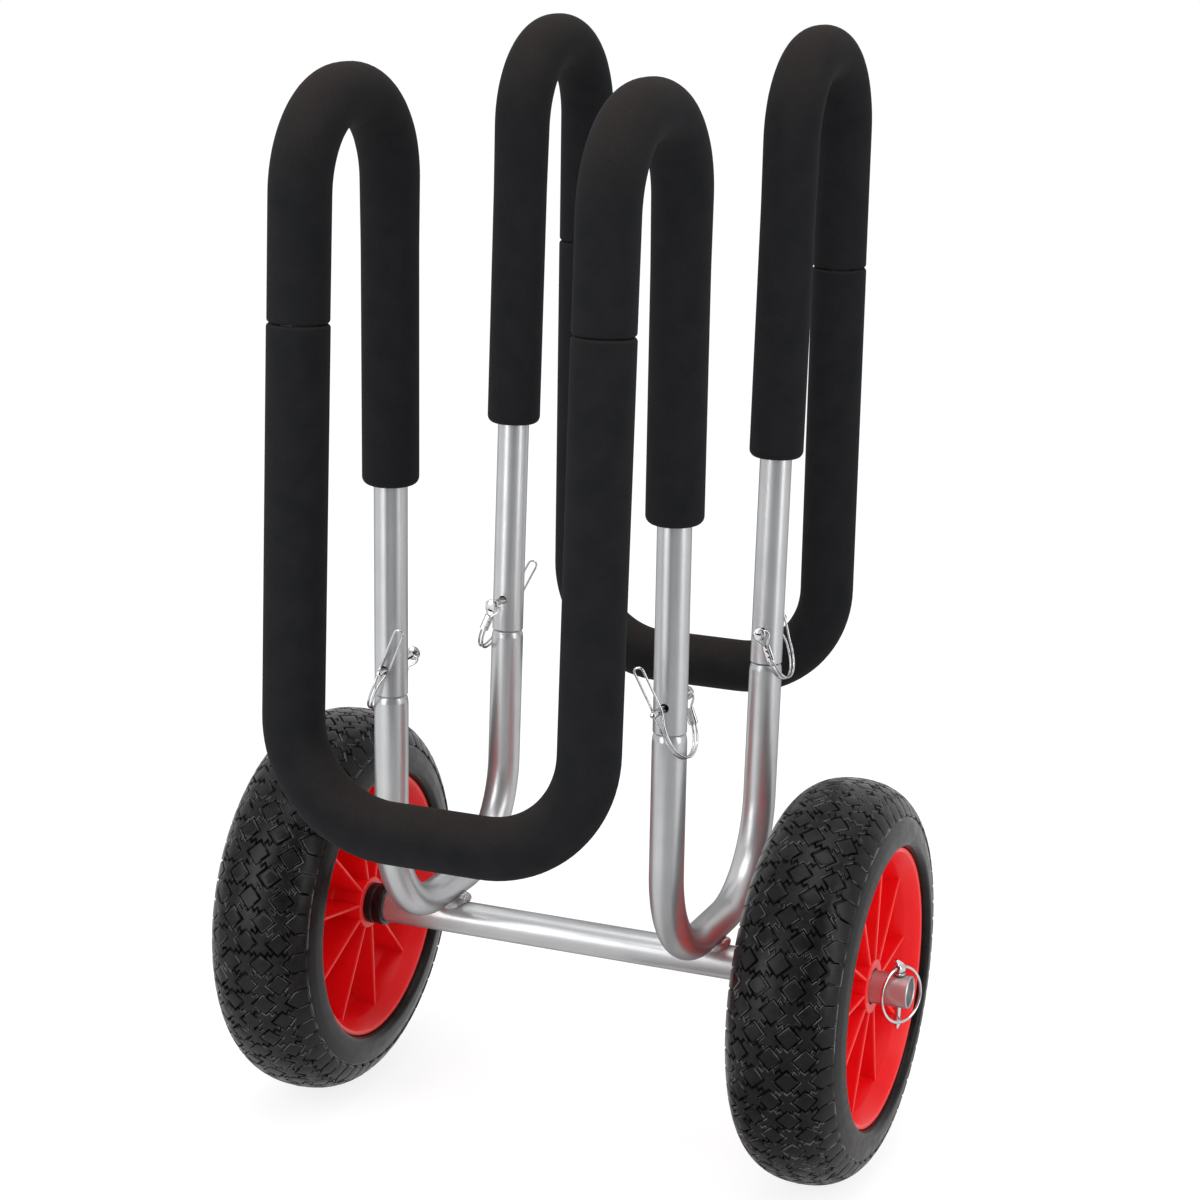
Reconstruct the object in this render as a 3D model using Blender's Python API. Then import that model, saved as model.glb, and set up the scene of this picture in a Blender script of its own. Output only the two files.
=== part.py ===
"""Paddleboard cart: two wheels, a tube axle, two lower frames and two padded cradles.

Metres, +Z up. The axle runs along X and the cart rolls along Y. The origin is on
the ground, midway between the wheels and under the axle. The front cradle is at -Y.
"""

import math

import bmesh
import bpy
from mathutils import Matrix, Vector

# Clearance kept between pieces that touch
GAP = 0.0003

# Wheel and tyre
AXLE_Z = 0.157
TYRE_RADIUS = 0.157
TYRE_HALF_WIDTH = 0.0454
TYRE_CROWN_HEIGHT = 0.043
TYRE_CROWN_POWER = 2.3
TYRE_CROWN_STEPS = 4
WHEEL_X = 0.21445
WHEEL_STEPS = 32
LIP_RADIUS = 0.109
LIP_HALF_WIDTH = 0.0392
BARREL_RADIUS = 0.1025
BARREL_HALF_WIDTH = 0.030
BOSS_RADIUS = 0.021
BOSS_HALF_WIDTH = 0.032
BORE_RADIUS = 0.0137
WEB_HALF_THICKNESS = 0.005
RIB_COUNT = 10
RIB_THICKNESS = 0.0026
RIB_ANGLE = {"left": 28.4, "right": 3.3}

# Axle tube with its necked ends and the plastic collars on them
AXLE_RADIUS = 0.0135
AXLE_END_RADIUS = 0.0127
AXLE_BORE = 0.0107
AXLE_SHOULDER_X = 0.1655
AXLE_NECK_LENGTH = 0.0015
AXLE_END_X = 0.2757
AXLE_SIDES = 16
COLLAR_RADIUS = 0.0165
COLLAR_INNER_X = AXLE_SHOULDER_X + AXLE_NECK_LENGTH + GAP
COLLAR_OUTER_X = WHEEL_X - BOSS_HALF_WIDTH - GAP

# Cradle tubes
TUBE_SIDES = 12
TUBE_RADIUS = 0.0127
TUBE_BORE = 0.0109
LEG_X = 0.113
LEG_RIM_Z = AXLE_Z + 0.2155
LEG_RIM_Y = 0.110
LEG_LEAN = 0.0255
UPRIGHT_REF_Z = AXLE_Z + 0.600
UPRIGHT_REF_Y = 0.2593
UPRIGHT_LEAN = -0.0245
HOOK_TOP_Z = {"front": AXLE_Z + 0.6697, "rear": AXLE_Z + 0.6915}
HOOK_BEND = 0.0655
HOOK_STEPS = 4
BAR_Z = AXLE_Z + 0.1634
BAR_BEND = 0.077
BAR_STEPS = 4

# Foam sleeves
FOAM_BORE = TUBE_RADIUS + 0.00035
HOOK_FOAM_RADIUS = 0.0220
BAR_FOAM_RADIUS = 0.0223
FOAM_LOW_Z = {
    "front_left": AXLE_Z + 0.3786,
    "front_right": AXLE_Z + 0.3723,
    "rear_left": AXLE_Z + 0.3881,
    "rear_right": AXLE_Z + 0.3812,
}
FOAM_SEAM_Z = {
    "front_left": AXLE_Z + 0.5180,
    "front_right": AXLE_Z + 0.5270,
    "rear_left": AXLE_Z + 0.5220,
    "rear_right": AXLE_Z + 0.5155,
}
FOAM_SEAM_GAP = 0.0005

# Lower frames
FRAME_RADIUS = 0.0131
FRAME_BORE = 0.0113
SPIGOT_RADIUS = 0.0105
SPIGOT_BORE = 0.0087
SPIGOT_TOP_Z = AXLE_Z + 0.275
SHOULDER_HEIGHT = 0.0090
FRAME_BEND = 0.080
FRAME_STEPS = 5
FRAME_LOW_Z = AXLE_Z + AXLE_RADIUS + FRAME_RADIUS + GAP

# Weld beads between the lower frames and the axle
WELD_SIZE = (0.0152, 0.0135, 0.0105)
WELD_Z = AXLE_Z + 0.0125
WELD_INSET = 0.0012

# Lock pins: u runs from head to tip, v down in the plane of the bail, w across it
PIN_Z = {"front": AXLE_Z + 0.2365, "rear": AXLE_Z + 0.2425}
PIN_RADIUS = 0.0024
PIN_LENGTH = 0.0685
PIN_SIDES = 12
PIN_HOLE_RADIUS = 0.0034
PIN_HEAD_RADIUS = 0.00525
PIN_HEAD_THICKNESS = 0.0030
PIN_TIP_CHAMFER = 0.0010
CROSS_HOLE_U = 0.0060
CROSS_HOLE_RADIUS = 0.0013
PIN_HEAD_U = {
    "front_left": -0.0439,
    "front_right": -0.0342,
    "rear_left": -0.0381,
    "rear_right": -0.0241,
}

# How far each pin is skewed in its loose holes, in degrees about X and about Z
PIN_SKEW = {
    "front_left": (0.2, 2.0),
    "front_right": (1.0, -2.0),
    "rear_left": (-1.0, 2.0),
    "rear_right": (-0.7, 0.9),
}

# Bails: one bent wire each, with a crimped ferrule below the head of the pin
BAIL_WIRE = 0.0009
BAIL_SIDES = 5
BAIL_DROP = 0.0435
BAIL_SIDE_U = (0.0070, 0.0592)
BAIL_END_U = 0.0669
BAIL_END_V = -0.0276
BAIL_BEND = 0.0261
BAIL_TOP_BEND = 0.020
BAIL_HALF_GAP = {"head": 0.0062, "ferrule": 0.0015, "loop": 0.0036}
BAIL_STUB = 0.0012
BAIL_TILT = {
    "front_left": 24.5,
    "front_right": 23.0,
    "rear_left": 21.5,
    "rear_right": 22.6,
}
BAIL_SWING = {
    "front_left": -6.5,
    "front_right": -5.0,
    "rear_left": 4.1,
    "rear_right": -0.1,
}
FERRULE_SIZE = (0.0042, 0.0120, 0.0074)
FERRULE_V = 0.0170
FERRULE_U = 0.0072
FERRULE_CHANNEL = BAIL_WIRE + GAP

# Linch pins and their rings
LINCH_X = 0.2665
LINCH_RADIUS = 0.0025
LINCH_HOLE_RADIUS = 0.0029
LINCH_TIP_Z = -0.0310
LINCH_COLLAR_Z = (0.0132, 0.0150)
LINCH_COLLAR_RADIUS = 0.0045
LINCH_HEAD_SIZE = (0.0065, 0.0080, 0.0090)
LINCH_HEAD_Z = 0.0194
LINCH_EYE_RADIUS = 0.0024
RING_RADIUS = 0.0215
RING_WIRE = 0.0015
RING_HINGE_Z = 0.0190
RING_TURN = 27.0
RING_LEAN = 6.5
RING_STEPS = 24
RING_SIDES = 6

# Colour as linear RGB, then metallic and roughness
FINISHES = {
    "aluminium": ((0.62, 0.63, 0.65), 1.0, 0.34),
    "weld": ((0.70, 0.70, 0.71), 1.0, 0.45),
    "zinc": ((0.72, 0.73, 0.75), 1.0, 0.18),
    "foam": ((0.010, 0.010, 0.011), 0.0, 0.85),
    "hub": ((0.78, 0.010, 0.012), 0.0, 0.38),
    "tyre": ((0.022, 0.021, 0.021), 0.0, 0.62),
    "collar": ((0.012, 0.012, 0.013), 0.0, 0.45),
}

SIDE_SIGN = {"left": -1, "right": 1}
END_SIGN = {"front": -1, "rear": 1}


def clear_scene():
    """Remove whatever objects the scene starts with."""
    for old in list(bpy.data.objects):
        bpy.data.objects.remove(old, do_unlink=True)


def make_material(name, finish):
    """A Principled material of the part's own, in one of the finishes above."""
    colour, metallic, roughness = FINISHES[finish]
    material = bpy.data.materials.new(name)
    material.use_nodes = True
    shader = material.node_tree.nodes["Principled BSDF"]
    shader.inputs["Base Color"].default_value = (*colour, 1.0)
    shader.inputs["Metallic"].default_value = metallic
    shader.inputs["Roughness"].default_value = roughness
    material.diffuse_color = (*colour, 1.0)
    return material


def finish_object(name, bm, finish, sharp_angle=40.0):
    """Turn a bmesh into a named object, shaded smooth up to the sharp angle."""
    bmesh.ops.recalc_face_normals(bm, faces=bm.faces)
    mesh = bpy.data.meshes.new(name)
    bm.to_mesh(mesh)
    bm.free()
    mesh.shade_smooth()
    mesh.set_sharp_from_angle(angle=math.radians(sharp_angle))
    obj = bpy.data.objects.new(name, mesh)
    bpy.context.scene.collection.objects.link(obj)
    if finish is not None:
        mesh.materials.append(make_material(name + "_" + finish, finish))
    return obj


def make_cutter(name, bm):
    """A guide solid for a Boolean modifier, drawn as wire and left out of renders."""
    cutter = finish_object(name, bm, None)
    cutter.hide_render = True
    cutter.display_type = "WIRE"
    return cutter


def add_boolean(obj, operand, operation):
    """Cut or join another solid with an exact Boolean modifier."""
    modifier = obj.modifiers.new(operand.name, "BOOLEAN")
    modifier.operation = operation
    modifier.solver = "EXACT"
    modifier.object = operand


def fillet(before, corner, after, radius, steps):
    """Stations (point, tangent) round a corner, from one tangent point to the other."""
    toward = (before - corner).normalized()
    away = (after - corner).normalized()
    half = toward.angle(away) / 2
    start = corner + toward * (radius / math.tan(half))
    centre = corner + (toward + away).normalized() * (radius / math.sin(half))
    turn = math.pi - 2 * half
    axis = (-toward).cross(away).normalized()
    stations = []
    for step in range(steps + 1):
        rotation = Matrix.Rotation(turn * step / steps, 3, axis)
        stations.append((centre + rotation @ (start - centre), rotation @ -toward))
    return stations


def straight(start, end, at):
    """One station on the straight run from start to end, at a point on it."""
    return (at, (end - start).normalized())


def sweep(bm, stations, radii, sides, side_axis, phase):
    """Rings of vertices along a path, carried round its bends without twist.

    The rings start with the side axis at angle zero plus the phase. Returns them.
    """
    reference = Vector(side_axis)
    last = None
    rings = []
    for (point, tangent), radius in zip(stations, radii):
        if last is not None:
            reference = last.rotation_difference(tangent) @ reference
        last = tangent
        across = (reference - tangent * reference.dot(tangent)).normalized()
        other = tangent.cross(across)
        ring = []
        for side in range(sides):
            angle = phase + 2 * math.pi * side / sides
            offset = across * math.cos(angle) + other * math.sin(angle)
            ring.append(bm.verts.new(point + offset * radius))
        rings.append(ring)
    for ring, following in zip(rings, rings[1:]):
        for side in range(sides):
            nxt = (side + 1) % sides
            bm.faces.new((ring[side], ring[nxt], following[nxt], following[side]))
    return rings


def tube_mesh(stations, outer, inner, sides, side_axis=(1, 0, 0), phase=0.0):
    """A closed tube along a path, hollow where an inner radius is given.

    The radii are one number, or a list with one number for each station.
    """
    count = len(stations)
    outer = outer if isinstance(outer, list) else [outer] * count
    bm = bmesh.new()
    outside = sweep(bm, stations, outer, sides, side_axis, phase)
    if inner is None:
        bm.faces.new(outside[0])
        bm.faces.new(outside[-1])
        return bm
    inner = inner if isinstance(inner, list) else [inner] * count
    inside = sweep(bm, stations, inner, sides, side_axis, phase)
    for end in (0, -1):
        for side in range(sides):
            nxt = (side + 1) % sides
            bm.faces.new((
                outside[end][side], outside[end][nxt], inside[end][nxt], inside[end][side]
            ))
    return bm


def line_stations(points):
    """Stations along a straight line through the points."""
    tangent = (points[-1] - points[0]).normalized()
    return [(point, tangent) for point in points]


def turned_mesh(profile, steps):
    """A closed body turned about the X axis from a closed outline of (x, radius)."""
    bm = bmesh.new()
    verts = [bm.verts.new((x, 0.0, radius)) for x, radius in profile]
    edges = [bm.edges.new(pair) for pair in zip(verts, verts[1:] + verts[:1])]
    bmesh.ops.spin(
        bm, geom=verts + edges, cent=(0, 0, 0), axis=(1, 0, 0),
        angle=2 * math.pi, steps=steps, use_merge=True,
    )
    bmesh.ops.remove_doubles(bm, verts=bm.verts, dist=1e-6)
    return bm


def mirrored_outline(half):
    """A closed outline from its +x half, listed from the outer side to the inner."""
    return half + [(-x, radius) for x, radius in reversed(half) if x > 0]


def leg_point(side, end, height):
    """Centre of a cradle leg, or of the frame below it, at a height."""
    y = LEG_RIM_Y + LEG_LEAN * (height - LEG_RIM_Z)
    return Vector((SIDE_SIGN[side] * LEG_X, END_SIGN[end] * y, height))


def upright_point(side, end, height):
    """Centre of a cradle's outer upright at a height."""
    y = UPRIGHT_REF_Y + UPRIGHT_LEAN * (height - UPRIGHT_REF_Z)
    return Vector((SIDE_SIGN[side] * LEG_X, END_SIGN[end] * y, height))


def cradle_half(end, side):
    """Half of a cradle's path, as named runs of stations from leg to bar.

    The runs lie on the left, with the heights of the named side's sleeves.
    """
    label = end + "_" + side
    top = HOOK_TOP_Z[end]
    leg_low = leg_point("left", end, LEG_RIM_Z)
    leg_top = leg_point("left", end, top)
    upright_top = upright_point("left", end, top)
    corner = upright_point("left", end, BAR_Z)
    across = upright_point("right", end, BAR_Z)
    seam_high = upright_point("left", end, FOAM_SEAM_Z[label] + FOAM_SEAM_GAP / 2)
    seam_low = upright_point("left", end, FOAM_SEAM_Z[label] - FOAM_SEAM_GAP / 2)
    foam_low = leg_point("left", end, FOAM_LOW_Z[label])
    hook = [straight(leg_low, leg_top, foam_low)]
    hook += fillet(leg_low, leg_top, upright_top, HOOK_BEND, HOOK_STEPS)
    hook += fillet(leg_top, upright_top, corner, HOOK_BEND, HOOK_STEPS)
    hook.append(straight(upright_top, corner, seam_high))
    bar = [straight(upright_top, corner, seam_low)]
    bar += fillet(upright_top, corner, across, BAR_BEND, BAR_STEPS)
    return {"leg": [straight(leg_low, leg_top, leg_low)], "hook": hook, "bar": bar}


def mirror_run(run):
    """The same run of stations on the right side, in the path's own direction."""
    flip = Vector((-1, 1, 1))
    return [(point * flip, -(tangent * flip)) for point, tangent in reversed(run)]


def build_cradle(end):
    """One bent cradle tube, its two hook sleeves and the sleeve round its bar."""
    left = cradle_half(end, "left")
    right = {name: mirror_run(run) for name, run in cradle_half(end, "right").items()}
    path = left["leg"] + left["hook"] + left["bar"]
    path += right["bar"] + right["hook"] + right["leg"]
    phase = math.pi / TUBE_SIDES
    tube = finish_object(
        end + "_cradle_tube",
        tube_mesh(path, TUBE_RADIUS, TUBE_BORE, TUBE_SIDES, phase=phase),
        "aluminium",
    )
    for side in SIDE_SIGN:
        add_boolean(tube, pin_hole_cutter(side, end), "DIFFERENCE")
    for side, run in (("left", left["hook"]), ("right", right["hook"])):
        finish_object(
            end + "_" + side + "_hook_foam",
            tube_mesh(run, HOOK_FOAM_RADIUS, FOAM_BORE, TUBE_SIDES, phase=phase),
            "foam",
        )
    finish_object(
        end + "_bar_foam",
        tube_mesh(left["bar"] + right["bar"], BAR_FOAM_RADIUS, FOAM_BORE, TUBE_SIDES, phase=phase),
        "foam",
    )


def pin_hole_cutter(side, end):
    """A rod along Y that drills the lock pin's holes; tube and frame share it."""
    name = "cutter_" + end + "_" + side + "_pin_hole"
    if name in bpy.data.objects:
        return bpy.data.objects[name]
    centre = leg_point(side, end, PIN_Z[end])
    reach = Vector((0, 2 * TUBE_RADIUS, 0))
    stations = line_stations([centre - reach, centre + reach])
    return make_cutter(name, tube_mesh(stations, PIN_HOLE_RADIUS, None, PIN_SIDES))


def build_lower_frame(side):
    """One U-shaped lower frame, necked at both ends to slide into the cradle legs."""
    neck_top = LEG_RIM_Z - GAP
    heights = [
        (SPIGOT_TOP_Z, SPIGOT_RADIUS, SPIGOT_BORE),
        (neck_top, SPIGOT_RADIUS, SPIGOT_BORE),
        (neck_top - 0.3 * SHOULDER_HEIGHT, 0.95 * FRAME_RADIUS, FRAME_BORE - 0.0008),
        (neck_top - SHOULDER_HEIGHT, FRAME_RADIUS, FRAME_BORE),
    ]
    path, outer, inner = [], [], []
    top = leg_point(side, "front", SPIGOT_TOP_Z)
    corner = leg_point(side, "front", FRAME_LOW_Z)
    far_corner = leg_point(side, "rear", FRAME_LOW_Z)
    far_top = leg_point(side, "rear", SPIGOT_TOP_Z)
    for height, radius, bore in heights:
        path.append(straight(top, corner, leg_point(side, "front", height)))
        outer.append(radius)
        inner.append(bore)
    bends = fillet(top, corner, far_corner, FRAME_BEND, FRAME_STEPS)
    bends += fillet(corner, far_corner, far_top, FRAME_BEND, FRAME_STEPS)
    path += bends
    outer += [FRAME_RADIUS] * len(bends)
    inner += [FRAME_BORE] * len(bends)
    for height, radius, bore in reversed(heights):
        path.append(straight(far_corner, far_top, leg_point(side, "rear", height)))
        outer.append(radius)
        inner.append(bore)
    mesh = tube_mesh(path, outer, inner, TUBE_SIDES, phase=math.pi / TUBE_SIDES)
    frame = finish_object(side + "_lower_frame", mesh, "aluminium")
    for end in END_SIGN:
        add_boolean(frame, pin_hole_cutter(side, end), "DIFFERENCE")


def build_axle():
    """The axle tube, drilled upright for the linch pins near both ends."""
    neck_x = AXLE_SHOULDER_X + AXLE_NECK_LENGTH
    half = [(AXLE_END_X, AXLE_END_RADIUS), (neck_x, AXLE_END_RADIUS), (AXLE_SHOULDER_X, AXLE_RADIUS)]
    outline = [(-x, radius) for x, radius in half] + list(reversed(half))
    points = [Vector((x, 0, AXLE_Z)) for x, _ in outline]
    radii = [radius for _, radius in outline]
    axle = finish_object(
        "axle_tube",
        tube_mesh(line_stations(points), radii, AXLE_BORE, AXLE_SIDES, side_axis=(0, 0, 1)),
        "aluminium",
    )
    for side, sign in SIDE_SIGN.items():
        centre = Vector((sign * LINCH_X, 0, AXLE_Z))
        reach = Vector((0, 0, 2 * AXLE_RADIUS))
        stations = line_stations([centre - reach, centre + reach])
        drill = tube_mesh(stations, LINCH_HOLE_RADIUS, None, PIN_SIDES)
        add_boolean(axle, make_cutter("cutter_" + side + "_linch_hole", drill), "DIFFERENCE")


def build_collar(side):
    """The plastic spacer between the axle's shoulder and the wheel's boss."""
    xs = (COLLAR_INNER_X, COLLAR_OUTER_X)
    points = [Vector((SIDE_SIGN[side] * x, 0, AXLE_Z)) for x in xs]
    bore = AXLE_END_RADIUS + GAP + 0.0001
    mesh = tube_mesh(
        line_stations(points), COLLAR_RADIUS, bore, AXLE_SIDES, side_axis=(0, 0, 1)
    )
    finish_object(side + "_axle_collar", mesh, "collar")


def build_weld(side):
    """The bead between the frame and the axle, cut back to the two tubes' surfaces."""
    sign = SIDE_SIGN[side]
    bm = bmesh.new()
    bmesh.ops.create_uvsphere(bm, u_segments=14, v_segments=8, radius=1.0)
    bmesh.ops.scale(bm, vec=WELD_SIZE, verts=bm.verts)
    place = Vector((sign * (LEG_X - WELD_INSET), 0, WELD_Z))
    bmesh.ops.translate(bm, vec=place, verts=bm.verts)
    weld = finish_object(side + "_frame_weld", bm, "weld", 60.0)
    reach = 0.04
    axle_line = [Vector((sign * LEG_X + dx, 0, AXLE_Z)) for dx in (-reach, reach)]
    frame_line = [Vector((sign * LEG_X, dy, FRAME_LOW_Z)) for dy in (-reach, reach)]
    axle_rod = tube_mesh(
        line_stations(axle_line), AXLE_RADIUS + GAP, None, AXLE_SIDES, side_axis=(0, 0, 1)
    )
    frame_rod = tube_mesh(
        line_stations(frame_line), FRAME_RADIUS + GAP, None, TUBE_SIDES, phase=math.pi / TUBE_SIDES
    )
    add_boolean(weld, make_cutter("cutter_" + side + "_weld_axle", axle_rod), "DIFFERENCE")
    add_boolean(weld, make_cutter("cutter_" + side + "_weld_frame", frame_rod), "DIFFERENCE")


def rib_mesh(start_angle):
    """Flat radial ribs on both faces of the hub, their ends sunk in boss and barrel."""
    outline = [
        (0.0038, 0.0190),
        (0.0310, 0.0190),
        (0.0310, 0.0245),
        (0.0276, 0.1002),
        (0.0140, 0.0965),
        (0.0038, 0.0880),
    ]
    bm = bmesh.new()
    for face in (-1, 1):
        for rib in range(RIB_COUNT):
            verts = [
                bm.verts.new((face * x, radius, -RIB_THICKNESS / 2)) for x, radius in outline
            ]
            made = bmesh.ops.extrude_face_region(bm, geom=[bm.faces.new(verts)])
            lifted = [item for item in made["geom"] if isinstance(item, bmesh.types.BMVert)]
            bmesh.ops.translate(bm, vec=(0, 0, RIB_THICKNESS), verts=lifted)
            angle = math.radians(start_angle + 360 * rib / RIB_COUNT)
            bmesh.ops.rotate(
                bm, verts=verts + lifted, cent=(0, 0, 0), matrix=Matrix.Rotation(angle, 3, "X")
            )
    return bm


def build_wheel(side):
    """The moulded hub with its ribs, and the solid tyre on its barrel."""
    centre = Vector((SIDE_SIGN[side] * WHEEL_X, 0, AXLE_Z))
    hub_half = [
        (BARREL_HALF_WIDTH, BARREL_RADIUS),
        (LIP_HALF_WIDTH - 0.0035, LIP_RADIUS),
        (LIP_HALF_WIDTH, LIP_RADIUS),
        (LIP_HALF_WIDTH, LIP_RADIUS - 0.0035),
        (0.0276, 0.0983),
        (0.0120, 0.0935),
        (WEB_HALF_THICKNESS, 0.0830),
        (WEB_HALF_THICKNESS, BOSS_RADIUS),
        (BOSS_HALF_WIDTH, BOSS_RADIUS),
        (BOSS_HALF_WIDTH, BORE_RADIUS),
    ]
    hub = finish_object(
        side + "_wheel_hub", turned_mesh(mirrored_outline(hub_half), WHEEL_STEPS), "hub"
    )
    hub.location = centre
    ribs = make_cutter("guide_" + side + "_ribs", rib_mesh(RIB_ANGLE[side]))
    ribs.location = centre
    add_boolean(hub, ribs, "UNION")

    seat = BARREL_RADIUS + 1.3 * GAP
    lip_seat = LIP_RADIUS + 1.3 * GAP
    crown_radius = TYRE_RADIUS - TYRE_CROWN_HEIGHT
    tyre_half = [(0.0, TYRE_RADIUS)]
    for step in range(TYRE_CROWN_STEPS - 1, -1, -1):
        angle = math.pi / 2 * step / TYRE_CROWN_STEPS
        out = math.cos(angle) ** (2 / TYRE_CROWN_POWER)
        up = math.sin(angle) ** (2 / TYRE_CROWN_POWER)
        tyre_half.append((TYRE_HALF_WIDTH * out, crown_radius + TYRE_CROWN_HEIGHT * up))
    tyre_half += [
        (LIP_HALF_WIDTH + 0.0012, lip_seat),
        (LIP_HALF_WIDTH - 0.0037, lip_seat),
        (BARREL_HALF_WIDTH - 0.0002, seat),
    ]
    tyre = finish_object(
        side + "_tyre", turned_mesh(mirrored_outline(tyre_half), WHEEL_STEPS), "tyre"
    )
    tyre.location = centre


def place_matrix(origin, along, down):
    """World matrix with local X along the pin and local Y down in the bail's plane."""
    across = along.cross(down)
    matrix = Matrix((along, down, across)).transposed().to_4x4()
    matrix.translation = origin
    return matrix


def bail_path():
    """The bail's stations from one stub in the cross hole round to the other.

    Local axes are u, v and w, with the origin in the cross hole.
    """
    low_u, high_u = (u - CROSS_HOLE_U for u in BAIL_SIDE_U)
    end = Vector((BAIL_END_U - CROSS_HOLE_U, BAIL_END_V, 0))
    corners = [
        Vector((0, 0, 0)),
        Vector((low_u, BAIL_DROP, 0)),
        Vector((high_u, BAIL_DROP, 0)),
        Vector((high_u - 0.001, 0.002, 0)),
        end,
    ]
    run = [corners[0] + Vector((0.0002, 0.0045, 0))]
    run += [corners[0].lerp(corners[1], part) for part in (0.23, 0.40)]
    run += [point for point, _ in fillet(*corners[0:3], BAIL_BEND, 5)][1:]
    run += [point for point, _ in fillet(*corners[1:4], BAIL_BEND, 5)]
    run += [point for point, _ in fillet(*corners[2:5], BAIL_TOP_BEND, 3)]
    run.append(end)
    half_gaps = [BAIL_HALF_GAP["head"]]
    loop_from = len(run) - 5
    for index in range(1, len(run)):
        wide = "loop" if index >= loop_from else "ferrule"
        half_gaps.append(BAIL_HALF_GAP[wide])
    half_gaps[loop_from - 1] = (BAIL_HALF_GAP["loop"] + BAIL_HALF_GAP["ferrule"]) / 2
    side = [Vector((0, 0, BAIL_STUB)), Vector((0, 0, BAIL_HALF_GAP["head"] - 0.0012))]
    side.append(Vector((0.0001, 0.0012, BAIL_HALF_GAP["head"])))
    side += [point + Vector((0, 0, gap)) for point, gap in zip(run, half_gaps)]
    reach = (end - run[-2]).normalized()
    gap = BAIL_HALF_GAP["loop"]
    for angle in (30, 60):
        turn = math.radians(angle)
        bulge = reach * (gap * math.sin(turn)) + Vector((0, 0, gap * math.cos(turn)))
        side.append(end + bulge)
    crown = [end + reach * gap]
    back = [point * Vector((1, 1, -1)) for point in reversed(side)]
    return tangents_along(side + crown + back)


def tangents_along(points):
    """Stations from points, each tangent bisecting the runs that meet there."""
    stations = []
    for index, point in enumerate(points):
        before = points[max(index - 1, 0)]
        after = points[min(index + 1, len(points) - 1)]
        arriving = (point - before).normalized() if index else Vector()
        leaving = (after - point).normalized() if index < len(points) - 1 else Vector()
        stations.append((point, (arriving + leaving).normalized()))
    return stations


def build_lock_pin(side, end):
    """A clevis pin through the leg, its spring-wire bail and the bail's ferrule."""
    label = end + "_" + side
    tilt = math.radians(BAIL_TILT[label])
    about_x, about_z = (math.radians(angle) for angle in PIN_SKEW[label])
    skew = Matrix.Rotation(about_x, 3, "X") @ Matrix.Rotation(about_z, 3, "Z")
    along = skew @ Vector((0, END_SIGN[end], 0))
    down = skew @ Vector((SIDE_SIGN[side] * math.sin(tilt), 0, -math.cos(tilt)))
    axis_point = leg_point(side, end, PIN_Z[end])
    head = axis_point + along * PIN_HEAD_U[label]

    tip = PIN_LENGTH - PIN_TIP_CHAMFER
    outline = [
        (0.0, PIN_HEAD_RADIUS),
        (PIN_HEAD_THICKNESS, PIN_HEAD_RADIUS),
        (PIN_HEAD_THICKNESS, PIN_RADIUS),
        (tip, PIN_RADIUS),
        (PIN_LENGTH, PIN_RADIUS - PIN_TIP_CHAMFER),
    ]
    stations = line_stations([Vector((u, 0, 0)) for u, _ in outline])
    radii = [radius for _, radius in outline]
    pin = finish_object(
        label + "_lock_pin",
        tube_mesh(stations, radii, None, PIN_SIDES, side_axis=(0, 1, 0)),
        "zinc",
    )
    pin.matrix_world = place_matrix(head, along, down)
    reach = 2 * PIN_RADIUS
    drill_line = [Vector((CROSS_HOLE_U, 0, w)) for w in (-reach, reach)]
    drill = make_cutter(
        "cutter_" + label + "_cross_hole",
        tube_mesh(line_stations(drill_line), CROSS_HOLE_RADIUS, None, 8),
    )
    drill.matrix_world = place_matrix(head, along, down)
    add_boolean(pin, drill, "DIFFERENCE")

    hinge = head + along * CROSS_HOLE_U
    swing = math.radians(BAIL_SWING[label])
    turned_along = along * math.cos(swing) + down * math.sin(swing)
    turned_down = down * math.cos(swing) - along * math.sin(swing)
    place = place_matrix(hinge, turned_along, turned_down)
    path = bail_path()
    bail = finish_object(
        label + "_pin_bail",
        tube_mesh(path, BAIL_WIRE, None, BAIL_SIDES, side_axis=(1, 0, 0)),
        "zinc",
        60.0,
    )
    bail.matrix_world = place

    bm = bmesh.new()
    bmesh.ops.create_cube(bm, size=1.0)
    bmesh.ops.scale(bm, vec=FERRULE_SIZE, verts=bm.verts)
    upright_edges = [edge for edge in bm.edges if abs(edge.verts[0].co.y - edge.verts[1].co.y) > 1e-4]
    bmesh.ops.bevel(bm, geom=upright_edges, offset=0.0014, segments=2, affect="EDGES", profile=0.5)
    centre = Vector((FERRULE_U - CROSS_HOLE_U, FERRULE_V, 0))
    bmesh.ops.translate(bm, vec=centre, verts=bm.verts)
    ferrule = finish_object(label + "_bail_ferrule", bm, "zinc", 30.0)
    ferrule.matrix_world = place
    channels = make_cutter(
        "cutter_" + label + "_ferrule_channels",
        tube_mesh(path, FERRULE_CHANNEL / math.cos(math.pi / BAIL_SIDES), None, BAIL_SIDES),
    )
    channels.matrix_world = place
    add_boolean(ferrule, channels, "DIFFERENCE")


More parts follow.
